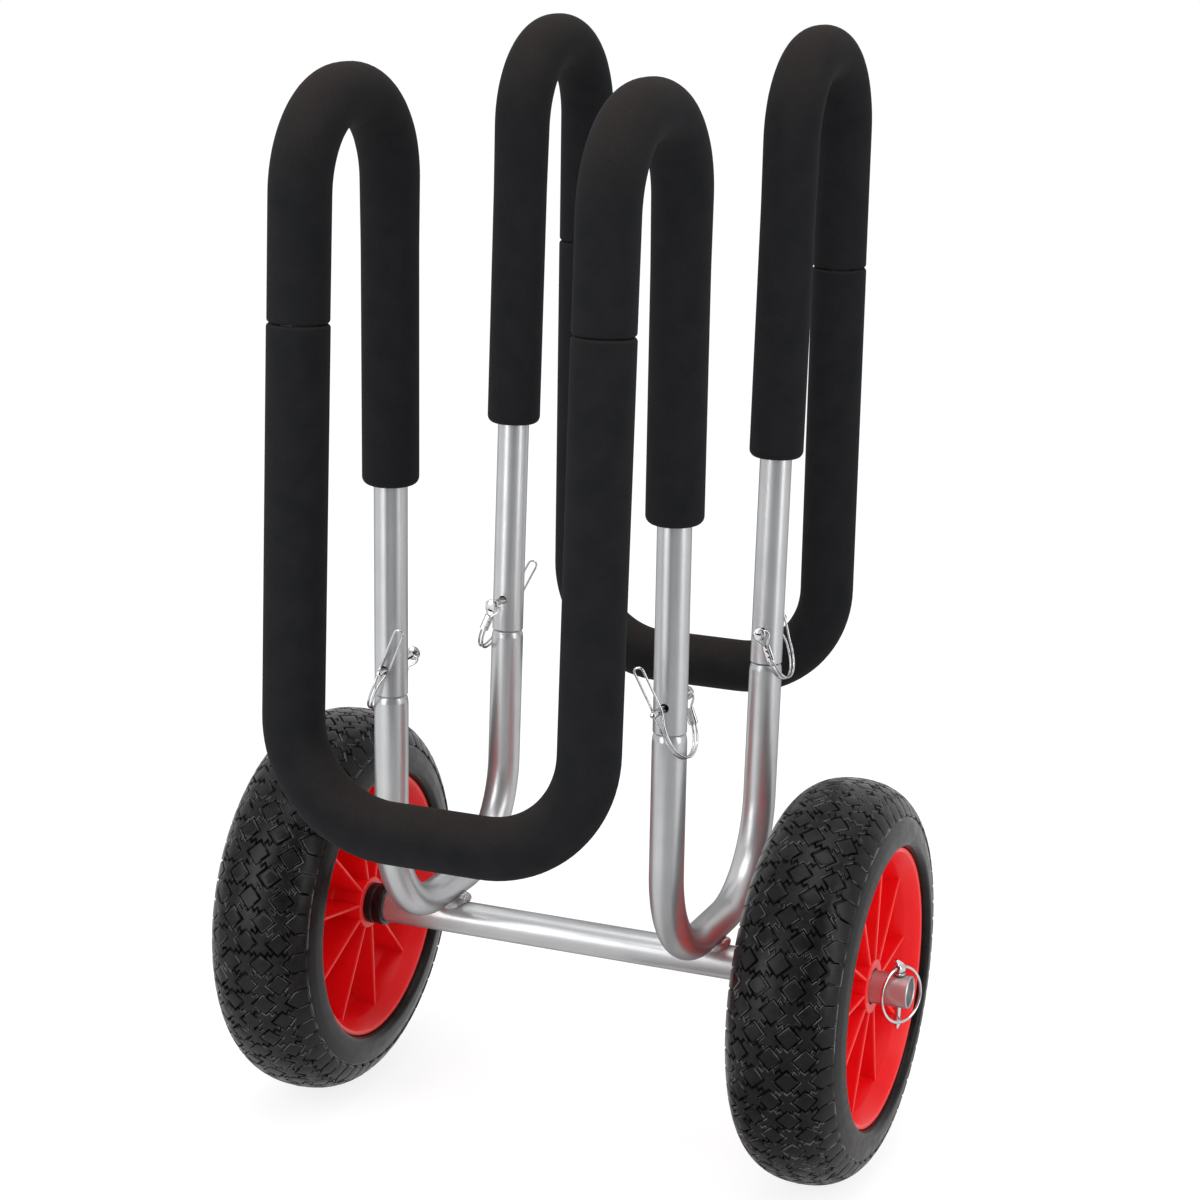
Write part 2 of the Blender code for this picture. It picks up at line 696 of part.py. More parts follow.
def build_linch_pin(side):
    """The upright pin through the axle's end and the ring that swings from its head."""
    sign = SIDE_SIGN[side]
    centre = Vector((sign * LINCH_X, 0, AXLE_Z))
    turn = math.radians(RING_TURN)
    hinge_line = Vector((sign * math.sin(turn), math.cos(turn), 0))
    outward = Vector((sign * math.cos(turn), -math.sin(turn), 0))

    low, high = LINCH_COLLAR_Z
    neck = LINCH_HEAD_Z
    outline = [
        (LINCH_TIP_Z, LINCH_RADIUS - 0.0010),
        (LINCH_TIP_Z + 0.0020, LINCH_RADIUS),
        (low, LINCH_RADIUS),
        (low, LINCH_COLLAR_RADIUS),
        (high, LINCH_COLLAR_RADIUS),
        (high, LINCH_RADIUS),
        (neck - 0.0026, LINCH_RADIUS),
    ]
    stations = line_stations([Vector((0, 0, z)) for z, _ in outline])
    radii = [radius for _, radius in outline]
    pin = finish_object(
        side + "_linch_pin", tube_mesh(stations, radii, None, PIN_SIDES), "zinc", 30.0
    )
    pin.location = centre
    turned = Matrix((outward, hinge_line, Vector((0, 0, 1)))).transposed().to_4x4()

    bm = bmesh.new()
    bmesh.ops.create_cube(bm, size=1.0)
    bmesh.ops.scale(bm, vec=LINCH_HEAD_SIZE, verts=bm.verts)
    bmesh.ops.translate(bm, vec=(0, 0, LINCH_HEAD_Z), verts=bm.verts)
    top_edges = [
        edge for edge in bm.edges if min(vert.co.z for vert in edge.verts) > LINCH_HEAD_Z
    ]
    bmesh.ops.bevel(bm, geom=top_edges, offset=0.0016, segments=2, affect="EDGES", profile=0.5)
    bmesh.ops.transform(bm, matrix=turned, verts=bm.verts)
    head = make_cutter("guide_" + side + "_linch_head", bm)
    head.location = centre
    add_boolean(pin, head, "UNION")
    reach = hinge_line * 0.008
    lift = Vector((0, 0, RING_HINGE_Z))
    eye = tube_mesh(line_stations([lift - reach, lift + reach]), LINCH_EYE_RADIUS, None, 10)
    eye_cutter = make_cutter("cutter_" + side + "_linch_eye", eye)
    eye_cutter.location = centre
    add_boolean(pin, eye_cutter, "DIFFERENCE")

    lean = math.radians(RING_LEAN)
    hang = Vector((0, 0, -math.cos(lean))) + outward * math.sin(lean)
    bm = bmesh.new()
    rings = []
    for step in range(RING_STEPS):
        angle = 2 * math.pi * step / RING_STEPS
        radial = hang * math.cos(angle) + hinge_line * math.sin(angle)
        normal = hang.cross(hinge_line)
        ring = []
        for around in range(RING_SIDES):
            turn_round = 2 * math.pi * around / RING_SIDES
            offset = radial * (RING_RADIUS + RING_WIRE * math.cos(turn_round))
            ring.append(
                bm.verts.new(hang * RING_RADIUS + offset + normal * RING_WIRE * math.sin(turn_round))
            )
        rings.append(ring)
    for ring, following in zip(rings, rings[1:] + rings[:1]):
        for around in range(RING_SIDES):
            nxt = (around + 1) % RING_SIDES
            bm.faces.new((ring[around], ring[nxt], following[nxt], following[around]))
    loop = finish_object(side + "_linch_ring", bm, "zinc", 70.0)
    loop.location = centre + lift


def main():
    """Build every piece of the cart."""
    clear_scene()
    build_axle()
    for side in SIDE_SIGN:
        build_lower_frame(side)
        build_weld(side)
        build_collar(side)
        build_wheel(side)
        build_linch_pin(side)
    for end in END_SIGN:
        build_cradle(end)
        for side in SIDE_SIGN:
            build_lock_pin(side, end)


main()
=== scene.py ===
"""Paddleboard cart in a plain studio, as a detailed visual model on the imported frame.

Metres, +Z up. The axle runs along X, the cart rolls along Y, the front cradle is at
-Y, and the origin is on the ground midway between the wheels. Each sub-assembly is a
class that holds its sizes, builds its meshes and dresses them.
"""

import logging
import math
from dataclasses import dataclass, field
from enum import Enum
from itertools import accumulate

import bmesh
import bpy
import numpy as np
from mathutils import Matrix
from mathutils.geometry import delaunay_2d_cdt


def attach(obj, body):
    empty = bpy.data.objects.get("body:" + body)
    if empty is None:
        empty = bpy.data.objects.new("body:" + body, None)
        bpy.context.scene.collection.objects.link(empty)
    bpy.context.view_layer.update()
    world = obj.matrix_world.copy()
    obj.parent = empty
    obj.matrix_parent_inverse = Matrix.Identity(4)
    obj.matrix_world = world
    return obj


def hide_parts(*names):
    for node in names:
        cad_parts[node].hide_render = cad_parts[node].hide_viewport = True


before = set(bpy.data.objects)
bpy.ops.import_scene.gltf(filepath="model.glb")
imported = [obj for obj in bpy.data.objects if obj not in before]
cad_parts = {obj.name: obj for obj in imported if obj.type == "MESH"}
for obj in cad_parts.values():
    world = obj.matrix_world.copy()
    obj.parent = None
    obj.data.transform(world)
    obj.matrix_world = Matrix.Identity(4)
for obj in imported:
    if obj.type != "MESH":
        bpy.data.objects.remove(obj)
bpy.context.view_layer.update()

LOG = logging.getLogger("paddleboard_cart")

# Points closer than this are one point
WELD_DISTANCE = 2e-6

Object = bpy.types.Object
Socket = bpy.types.NodeSocket
Tree = bpy.types.NodeTree


class Side(Enum):
    """A side of the cart, by the sign of its X."""

    LEFT = "left"
    RIGHT = "right"

    @property
    def sign(self) -> int:
        """-1 on the left and 1 on the right."""
        return 1 if self is Side.RIGHT else -1


class End(Enum):
    """An end of the cart, by the sign of its Y."""

    FRONT = "front"
    REAR = "rear"

    @property
    def sign(self) -> int:
        """-1 at the front and 1 at the rear."""
        return 1 if self is End.REAR else -1


class Slot(Enum):
    """The record's material slots."""

    TUBE = "tube"
    WELD = "weld"
    ZINC = "zinc"
    FOAM = "foam"
    HUB = "hub"
    TYRE = "tyre"
    COLLAR = "collar"


# Paths and meshes


def unit(vectors: np.ndarray) -> np.ndarray:
    """The vectors scaled to length one, along the last axis."""
    return vectors / np.linalg.norm(vectors, axis=-1, keepdims=True)


def ease(values: np.ndarray, start: float, end: float) -> np.ndarray:
    """0 before start, 1 after end and a smooth S between them."""
    part = np.clip((values - start) / (end - start), 0.0, 1.0)
    return part * part * (3 - 2 * part)


def bell(values: np.ndarray, middle: float, width: float) -> np.ndarray:
    """A bump of height one, exp(-((x - middle) / width)^2)."""
    return np.exp(-(((values - middle) / width) ** 2))


def squared(wave: np.ndarray, power: float) -> np.ndarray:
    """A wave w made squarer by a power below one, as sign(w) |w|^power."""
    return np.sign(wave) * np.abs(wave) ** power


def circle(steps: int) -> np.ndarray:
    """Angles in equal steps round a full turn."""
    return np.arange(steps) * 2 * math.pi / steps


def stacked(*parts) -> np.ndarray:
    """Numbers and arrays spread to one shape, side by side along a new last axis."""
    return np.stack(np.broadcast_arrays(*parts), axis=-1)


def mirrored(rows: list | np.ndarray, total: float = 0.0) -> np.ndarray:
    """Rows of (place, radius) from last to first, with each place p at total - p."""
    return np.array(rows, float)[::-1] * (-1, 1) + (total, 0)


def symmetric(
    rows: list | np.ndarray, total: float = 0.0, middle: np.ndarray | tuple = ()
) -> np.ndarray:
    """Rows of (place, radius), the middle's rows, and the first rows mirrored."""
    parts = (rows, middle, mirrored(rows, total))
    return np.concatenate([np.reshape(part, (-1, 2)) for part in parts])


class Route:
    """A path of straight runs joined by round bends, measured by its length.

    Args:
        corners: the points that the straight runs aim at, ends included.
        bends: the bend radius at each inner corner.
    """

    def __init__(self, corners: list, bends: list[float]) -> None:
        points = np.array(corners, float)
        self.pieces: list[tuple] = []
        here, total = points[0], 0.0
        for before, corner, after, radius in zip(points, points[1:], points[2:], bends):
            arriving, leaving = unit(corner - before), unit(after - corner)
            turn = math.acos(float(np.clip(arriving @ leaving, -1, 1)))
            start = corner - arriving * radius * math.tan(turn / 2)
            total = self._straight(here, start, total)
            inward = unit(leaving - arriving * (leaving @ arriving))
            self.pieces.append((total, radius * turn, start, arriving, inward, radius))
            total += radius * turn
            here = corner + leaving * radius * math.tan(turn / 2)
        self.length = self._straight(here, points[-1], total)

    def _straight(self, start: np.ndarray, end: np.ndarray, total: float) -> float:
        """Add a straight run and return the length so far."""
        span = float(np.linalg.norm(end - start))
        self.pieces.append((total, span, start, unit(end - start), None, None))
        return total + span

    def at(self, lengths: np.ndarray) -> tuple[np.ndarray, np.ndarray]:
        """Points and tangents at lengths along the path.

        On a straight run a point is the start plus the length times the tangent. On a
        bend it is start + r sin(a) tangent + r (1 - cos(a)) inward, with a the length
        over the radius.
        """
        lengths = np.asarray(lengths, float)
        points, tangents = np.zeros((2, len(lengths), 3))
        starts = np.array([piece[0] for piece in self.pieces])
        which = np.clip(np.searchsorted(starts, lengths, side="right") - 1, 0, None)
        for index, (total, _, start, tangent, inward, radius) in enumerate(self.pieces):
            chosen = which == index
            along = (lengths[chosen] - total)[:, None]
            if radius is None:
                points[chosen] = start + along * tangent
                tangents[chosen] = tangent
            else:
                cos, sin = np.cos(along / radius), np.sin(along / radius)
                points[chosen] = start + radius * (sin * tangent + (1 - cos) * inward)
                tangents[chosen] = cos * tangent + sin * inward
        return points, tangents

    def nearest(self, target: tuple) -> float:
        """The length along the path where it comes closest to a point."""
        lengths = np.linspace(0, self.length, 12001)
        away = np.linalg.norm(self.at(lengths)[0] - np.array(target), axis=1)
        return float(lengths[np.argmin(away)])

    def stations(self, start: float, end: float, step: float, turn: float) -> np.ndarray:
        """Lengths from start to end, a step apart on runs and a turn apart on bends."""
        found = [np.array([start, end])]
        for total, span, _, _, _, radius in self.pieces:
            pace = step if radius is None else radius * math.radians(turn)
            found.append(np.linspace(total, total + span, max(2, math.ceil(span / pace) + 1)))
        lengths = np.unique(np.round(np.concatenate(found), 7))
        return lengths[(lengths >= start - 1e-9) & (lengths <= end + 1e-9)]


def carried_frames(tangents: np.ndarray, first: tuple) -> tuple[np.ndarray, np.ndarray]:
    """Two directions across the path, carried along it with no twist."""

    def carry(across: np.ndarray, tangent: np.ndarray) -> np.ndarray:
        return unit(across - tangent * (across @ tangent))

    steps = accumulate(tangents, carry, initial=np.array(first, float))
    across = np.array(list(steps)[1:])
    return across, np.cross(tangents, across)


@dataclass
class Shape:
    """A mesh being made: points, faces, and values carried by the points."""

    points: np.ndarray
    faces: list[np.ndarray]
    values: dict[str, np.ndarray] = field(default_factory=dict)

    def joined(self, *others: "Shape") -> "Shape":
        """This shape and others as one, keeping the values that all of them have."""
        parts = [self, *others]
        offsets = np.cumsum([0] + [len(part.points) for part in parts[:-1]])
        shared = set.intersection(*[set(part.values) for part in parts])
        return Shape(
            np.concatenate([part.points for part in parts]),
            [face + offset for part, offset in zip(parts, offsets) for face in part.faces],
            {name: np.concatenate([part.values[name] for part in parts]) for name in shared},
        )

    def placed(self, matrix: np.ndarray) -> "Shape":
        """The shape moved by a 4x4 matrix."""
        points = self.points @ matrix[:3, :3].T + matrix[:3, 3]
        return Shape(points, self.faces, self.values)

    def capped(self, count: int) -> "Shape":
        """The shape with a face over its first and last ring of so many points."""
        caps = np.arange(count) + np.array([[0], [len(self.points) - count]])
        return Shape(self.points, self.faces + [caps], self.values)


def grid_shape(points: np.ndarray, wrap_rows: bool, wrap_columns: bool, **values) -> Shape:
    """Quads over a grid of points, closed on itself where a wrap is set."""
    rows, columns = points.shape[:2]
    row = np.arange(rows if wrap_rows else rows - 1)[:, None]
    column = np.arange(columns if wrap_columns else columns - 1)[None, :]
    here, beyond = row * columns, (row + 1) % rows * columns
    after = (column + 1) % columns
    quads = stacked(here + column, here + after, beyond + after, beyond + column)
    flat = {name: value.reshape(rows * columns, -1) for name, value in values.items()}
    return Shape(points.reshape(-1, 3), [quads.reshape(-1, 4)], flat)


def swept(
    route: Route, profile: np.ndarray, sides: int, first: tuple = (1, 0, 0), closed: bool = True
) -> Shape:
    """A round body along a route from its outline of (length, radius).

    A point is the route's point at the length plus the radius times cos(a) across +
    sin(a) up, with a running round in equal steps. The value "path" holds the same
    point as if the route were straight along Z.

    Args:
        route: the path of the body's centre.
        profile: rows of length along the route and radius.
        sides: points round the body.
        first: a direction across the start of the route.
        closed: whether the outline returns to its first point.
    """
    order, back = np.unique(profile[:, 0], return_inverse=True)
    points, tangents = route.at(order)
    across, upward = carried_frames(tangents, first)
    cos, sin = np.cos(circle(sides)), np.sin(circle(sides))
    spread = across[back][:, None] * cos[:, None] + upward[back][:, None] * sin[:, None]
    length, radius = profile[:, :1], profile[:, 1:]
    grid = points[back][:, None] + spread * radius[..., None]
    return grid_shape(grid, closed, True, path=stacked(cos * radius, sin * radius, length))


def about_x(x: np.ndarray, radius: np.ndarray, angle: np.ndarray) -> np.ndarray:
    """Points (x, r cos(a), r sin(a)), turned about X by an angle a."""
    return stacked(x, radius * np.cos(angle), radius * np.sin(angle))


def turned(profile: np.ndarray, angles: np.ndarray, closed: bool = True) -> Shape:
    """A body turned about X through the angles from its outline of (x, radius)."""
    return grid_shape(about_x(profile[:, :1], profile[:, 1:], angles), closed, True)


def rounded(points: list, radius: float, steps: int = 4) -> np.ndarray:
    """A closed outline with each corner rounded, less where its sides are short.

    The corner becomes a curve of second degree from one side to the other.
    """
    corner = np.array(points, float)
    ends = []
    for shift in (1, -1):
        side = np.roll(corner, shift, axis=0) - corner
        reach = np.minimum(radius, 0.45 * np.linalg.norm(side, axis=1))[:, None]
        ends.append((corner + unit(side) * reach)[:, None])
    part = np.linspace(0, 1, steps)[None, :, None]
    curve = (1 - part) ** 2 * ends[0] + 2 * part * (1 - part) * corner[:, None] + part**2 * ends[1]
    return curve.reshape(-1, 2)


def placement(origin: tuple, axes: tuple | np.ndarray = np.eye(3)) -> np.ndarray:
    """A 4x4 matrix with these three axes as its columns and this origin."""
    matrix = np.eye(4)
    matrix[:3, :3] = np.array(axes, float).T
    matrix[:3, 3] = origin
    return matrix


def read(
    items: bpy.types.bpy_prop_collection, name: str, width: int, kind: type = np.float32
) -> np.ndarray:
    """One property of each item as an array, in rows where it is wider than one."""
    values = np.zeros(len(items) * width, kind)
    items.foreach_get(name, values)
    return values.reshape(-1, width) if width > 1 else values


def make_object(name: str, shape: Shape, sharp: float) -> Object:
    """Turn a shape into an object with welded seams and faces out.

    Args:
        name: the object's name.
        shape: what it is made of.
        sharp: the angle in degrees from which an edge stays sharp.

    Returns:
        The object, with the shape's values as attributes on its face corners.
    """
    mesh = bpy.data.meshes.new(name)
    faces = [row for face in shape.faces for row in face.tolist()]
    mesh.from_pydata(shape.points.tolist(), [], faces)
    kinds = {1: ("FLOAT", "value"), 3: ("FLOAT_VECTOR", "vector")}
    corners = read(mesh.loops, "vertex_index", 1, np.int32)
    for label, value in shape.values.items():
        kind, key = kinds[value.shape[-1]]
        attribute = mesh.attributes.new(label, kind, "CORNER")
        attribute.data.foreach_set(key, value[corners].astype(np.float32).ravel())
    work = bmesh.new()
    work.from_mesh(mesh)
    bmesh.ops.remove_doubles(work, verts=work.verts, dist=WELD_DISTANCE)
    bmesh.ops.recalc_face_normals(work, faces=work.faces)
    work.to_mesh(mesh)
    work.free()
    mesh.shade_smooth()
    mesh.set_sharp_from_angle(angle=math.radians(sharp))
    obj = bpy.data.objects.new(name, mesh)
    bpy.context.scene.collection.objects.link(obj)
    return obj


def drill(obj: Object, tools: list[Shape]) -> None:
    """Cut holes through an object with exact Booleans, and keep the result."""
    for tool in tools:
        cutter = make_object("drill", tool, 30.0)
        modifier = obj.modifiers.new("hole", "BOOLEAN")
        modifier.operation = "DIFFERENCE"
        modifier.solver = "EXACT"
        modifier.object = cutter
        graph = bpy.context.evaluated_depsgraph_get()
        cut = bpy.data.meshes.new_from_object(obj.evaluated_get(graph), depsgraph=graph)
        obj.modifiers.clear()
        obj.data = cut
        bpy.data.objects.remove(cutter)


def keep_round(obj: Object, route: Route) -> None:
    """Give a drilled tube's walls the normals of the plain round tube.

    A wall is a face whose normal is nearly radial. Its corners get the direction from
    the route's nearest point, outwards or inwards as the face points.
    """
    mesh = obj.data
    vertex = read(mesh.loops, "vertex_index", 1, np.int32)
    path = read(mesh.attributes["path"].data, "vector", 3)
    centre, tangent = route.at(np.clip(path[:, 2], 0, route.length))
    radial = read(mesh.vertices, "co", 3)[vertex] - centre
    radial = unit(radial - tangent * np.sum(radial * tangent, axis=1, keepdims=True))
    totals = read(mesh.polygons, "loop_total", 1, np.int32)
    face = np.repeat(read(mesh.polygons, "normal", 3), totals, axis=0)
    facing = np.sum(radial * face, axis=1, keepdims=True)
    corner = read(mesh.corner_normals, "vector", 3)
    normal = np.where(np.abs(facing) > 0.994, radial * np.sign(facing), corner)
    mesh.normals_split_custom_set(normal.tolist())


def rod(start: tuple, end: tuple, radius: float, sides: int = 32) -> Shape:
    """A plain rod, to drill with."""
    route = Route([start, end], [])
    profile = np.array([[0, 0], [0, radius], [route.length, radius], [route.length, 0]])
    direction = unit(np.array(end, float) - np.array(start, float))
    first = np.roll(direction, 1) - direction * (np.roll(direction, 1) @ direction)
    return swept(route, profile, sides, tuple(unit(first)), closed=False)


# Materials


def linear(code: str) -> tuple[float, float, float, float]:
    """An sRGB hex colour as linear RGBA."""
    part = np.array([int(code[i : i + 2], 16) for i in (1, 3, 5)]) / 255
    value = np.where(part <= 0.04045, part / 12.92, ((part + 0.055) / 1.055) ** 2.4)
    return (*value.tolist(), 1.0)


def add_node(
    tree: Tree, kind: str, inputs: dict | None = None, out: int | str = 0, **settings
) -> Socket:
    """Add a node, set its properties, and fill its inputs.

    Args:
        tree: the tree that gets the node.
        kind: the node's type name, without "ShaderNode".
        inputs: for an input's name or number, a socket to link or a value to set.
        out: the name or number of the output to return.
        settings: properties of the node.

    Returns:
        The output.
    """
    node = tree.nodes.new("ShaderNode" + kind)
    for name, value in settings.items():
        setattr(node, name, value)
    for key, value in (inputs or {}).items():
        if isinstance(value, Socket):
            tree.links.new(value, node.inputs[key])
        else:
            node.inputs[key].default_value = value
    return node.outputs[out]


@dataclass
class Surface:
    """A material's tree and shader, and the sockets that details build on."""

    tree: Tree
    shader: bpy.types.Node
    source: Socket
    fine: Socket
    colour: Socket
    rough: Socket

    def tint(self, factor: Socket, colour: str) -> None:
        """Blend a colour over the surface where the factor says."""
        blend = {"Factor": factor, 6: self.colour, 7: linear(colour)}
        self.colour = add_node(self.tree, "Mix", blend, 2, data_type="RGBA")
        self.tree.links.new(self.colour, self.shader.inputs["Base Color"])


@dataclass(frozen=True)
class Finish:
    """A surface: its colours, its gloss and the size and depth of its grain.

    Lengths are in metres. The grain is stretched along the piece by the stretch.
    """

    slot: Slot
    name: str
    base: str
    other: str
    mottle: float
    grain: float
    depth: float
    rough: tuple[float, float]
    metallic: float = 0.0
    stretch: float = 1.0
    specular: float = 0.5
    sheen: float = 0.0
    # The tint of reflections at grazing angles; set dark, it paints shade along a piece's
    # silhouette, as a dark room round it would
    edge: str = "#ffffff"
    path: bool = False
    lengthwise: int = 2

    def build(self, obj: Object) -> Surface:
        """Give an object this finish as a material of its own."""
        material = bpy.data.materials.new(self.name)
        material.use_nodes = True
        obj.data.materials.clear()
        obj.data.materials.append(material)
        tree = material.node_tree
        shader = tree.nodes["Principled BSDF"]
        if self.path:
            source = add_node(tree, "Attribute", out="Vector", attribute_name="path")
        else:
            source = add_node(tree, "TexCoord", out="Object")
        scale = [1.0, 1.0, 1.0]
        scale[self.lengthwise] = 1.0 / self.stretch
        coords = add_node(tree, "Mapping", {"Vector": source, "Scale": scale})
        grain = {"Vector": coords, "Scale": 1.0 / self.grain, "Detail": 4.0, "Roughness": 0.6}
        fine = add_node(tree, "TexNoise", grain)
        cloud = {"Vector": source, "Scale": 1.0 / self.mottle, "Detail": 3.0}
        broad = add_node(tree, "TexNoise", cloud)
        both = add_node(tree, "Math", {0: fine, 1: broad}, operation="ADD")
        shade = add_node(tree, "MapRange", {0: both, 1: 0.75, 2: 1.25})
        blend = {"Factor": shade, 6: linear(self.base), 7: linear(self.other)}
        colour = add_node(tree, "Mix", blend, 2, data_type="RGBA")
        rough = add_node(tree, "MapRange", {0: shade, 3: self.rough[0], 4: self.rough[1]})
        relief = {"Height": fine, "Distance": self.depth, "Strength": 1.0}
        tree.links.new(colour, shader.inputs["Base Color"])
        tree.links.new(rough, shader.inputs["Roughness"])
        tree.links.new(add_node(tree, "Bump", relief), shader.inputs["Normal"])
        shader.inputs["Metallic"].default_value = self.metallic
        shader.inputs["Specular Tint"].default_value = linear(self.edge)
        shader.inputs["Specular IOR Level"].default_value = self.specular
        shader.inputs["Sheen Weight"].default_value = self.sheen
        shader.inputs["Sheen Roughness"].default_value = 0.6
        return Surface(tree, shader, source, fine, colour, rough)


# Satin anodised tube: soft, wide highlights with darker edges, painted shade from a dark edge tint,
# and drawing lines too faint to tell apart
DRAWN_TUBE = Finish(
    Slot.TUBE, "satin_anodised_aluminium", "#d0d1d2", "#c6c7c9", 0.03, 0.0011, 0.000005,
    (0.30, 0.35), metallic=0.80, stretch=60.0, edge="#4c4c4e", path=True,
)
# Weld: the same satin skin over a lumpy bead, a little brighter on its ripples; a grey edge tint
# paints shade along its silhouette
WELD_BEAD = Finish(
    Slot.WELD, "satin_weld_bead", "#cfcfce", "#b4b4b3", 0.004, 0.0012, 0.00010, (0.32, 0.46),
    metallic=0.92, edge="#7c7c7e",
)
# Zinc plate: bright and smooth, with slightly cloudy patches, and a near-black edge tint that
# paints dark outlines as painted shade
ZINC_PLATE = Finish(
    Slot.ZINC, "bright_zinc_plate", "#f0f1f2", "#dfe0e2", 0.004, 0.0006, 0.000003,
    (0.03, 0.08), metallic=1.0, edge="#0e0e0f",
)
# Foam: a matt closed-cell skin with an open grain of small cells
CELL_FOAM = Finish(
    Slot.FOAM, "closed_cell_foam", "#17181a", "#1f1f21", 0.02, 0.0011, 0.00022, (0.88, 0.98),
    specular=0.10, sheen=0.01, path=True,
)
# Tyre: black rubber, semi-gloss from the mould, dusty in places
RUBBER = Finish(
    Slot.TYRE, "moulded_tyre_rubber", "#131212", "#1e1c1b", 0.010, 0.0008, 0.00005,
    (0.24, 0.40), specular=0.19,
)
# Hub: saturated red nylon with a faint orange-peel skin
RED_NYLON = Finish(
    Slot.HUB, "red_moulded_nylon", "#ec0e15", "#f2161c", 0.02, 0.0022, 0.00002, (0.30, 0.42),
    specular=0.24,
)
# Collar: black satin acetal with turning marks
BLACK_ACETAL = Finish(
    Slot.COLLAR, "black_satin_acetal", "#0f0f11", "#18181b", 0.006, 0.0008, 0.00003,
    (0.30, 0.44), stretch=0.05, lengthwise=0, specular=0.35,
)


def report(obj: Object, body: str, finish: Finish, *nodes: str) -> Surface:
    """Dress a finished piece and log it, riding on its body in place of its CAD nodes.

    Returns:
        The piece's surface, for the details of some finishes.
    """
    surface = finish.build(obj)
    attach(obj, body)
    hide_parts(*nodes)
    LOG.info("%s: %d faces, on %s", obj.name, len(obj.data.polygons), body)
    return surface


# Sizes that more than one sub-assembly needs


@dataclass(frozen=True)
class Layout:
    """Where the tubes run, as in the CAD model. Heights are above the axle."""

    axle_z: float = 0.157
    wheel_x: float = 0.21445
    leg_x: float = 0.113
    leg_rim_y: float = 0.110
    leg_lean: float = 0.0255
    rim_height: float = 0.2155
    upright_y: float = 0.2593
    upright_lean: float = -0.0245
    upright_height: float = 0.600
    tube_radius: float = 0.0127
    gap: float = 0.0003
    hole_radius: float = 0.0034
    hole_reach: float = 0.03

    def leg(self, side: Side, end: End, height: float) -> tuple:
        """Centre of a leg at a height above the axle."""
        y = self.leg_rim_y + self.leg_lean * (height - self.rim_height)
        return (side.sign * self.leg_x, end.sign * y, self.axle_z + height)

    def upright(self, side: Side, end: End, height: float) -> tuple:
        """Centre of an outer upright at a height above the axle."""
        y = self.upright_y + self.upright_lean * (height - self.upright_height)
        return (side.sign * self.leg_x, end.sign * y, self.axle_z + height)

    def pin_hole(self, side: Side, end: End) -> Shape:
        """A rod along Y where a lock pin goes through a leg."""
        x, y, z = self.leg(side, end, PIN_HEIGHT[end])
        return rod((x, y - self.hole_reach, z), (x, y + self.hole_reach, z), self.hole_radius)


@dataclass(frozen=True)
class Corner:
    """What differs from corner to corner of the cart, as measured in the photograph.

    The foam's lower end and its seam are heights above the axle. The head is the place
    of the lock pin's head along its axis. The angles are degrees: the bail's tilt and
    swing, and how far the pin is out of square about X and about Z.
    """

    foam_low: float
    seam: float
    head: float
    tilt: float
    swing: float
    skew: tuple[float, float]


LAYOUT = Layout()
PIN_HEIGHT = {End.FRONT: 0.2365, End.REAR: 0.2425}
TOP_HEIGHT = {End.FRONT: 0.6697, End.REAR: 0.6915}
CORNERS = {
    (End.FRONT, Side.LEFT): Corner(0.3786, 0.5180, -0.0439, 24.5, -6.5, (0.2, 2.0)),
    (End.FRONT, Side.RIGHT): Corner(0.3723, 0.5270, -0.0342, 23.0, -5.0, (1.0, -2.0)),
    (End.REAR, Side.LEFT): Corner(0.3881, 0.5220, -0.0381, 21.5, 4.1, (-1.0, 2.0)),
    (End.REAR, Side.RIGHT): Corner(0.3812, 0.5155, -0.0241, 22.6, -0.1, (-0.7, 0.9)),
}


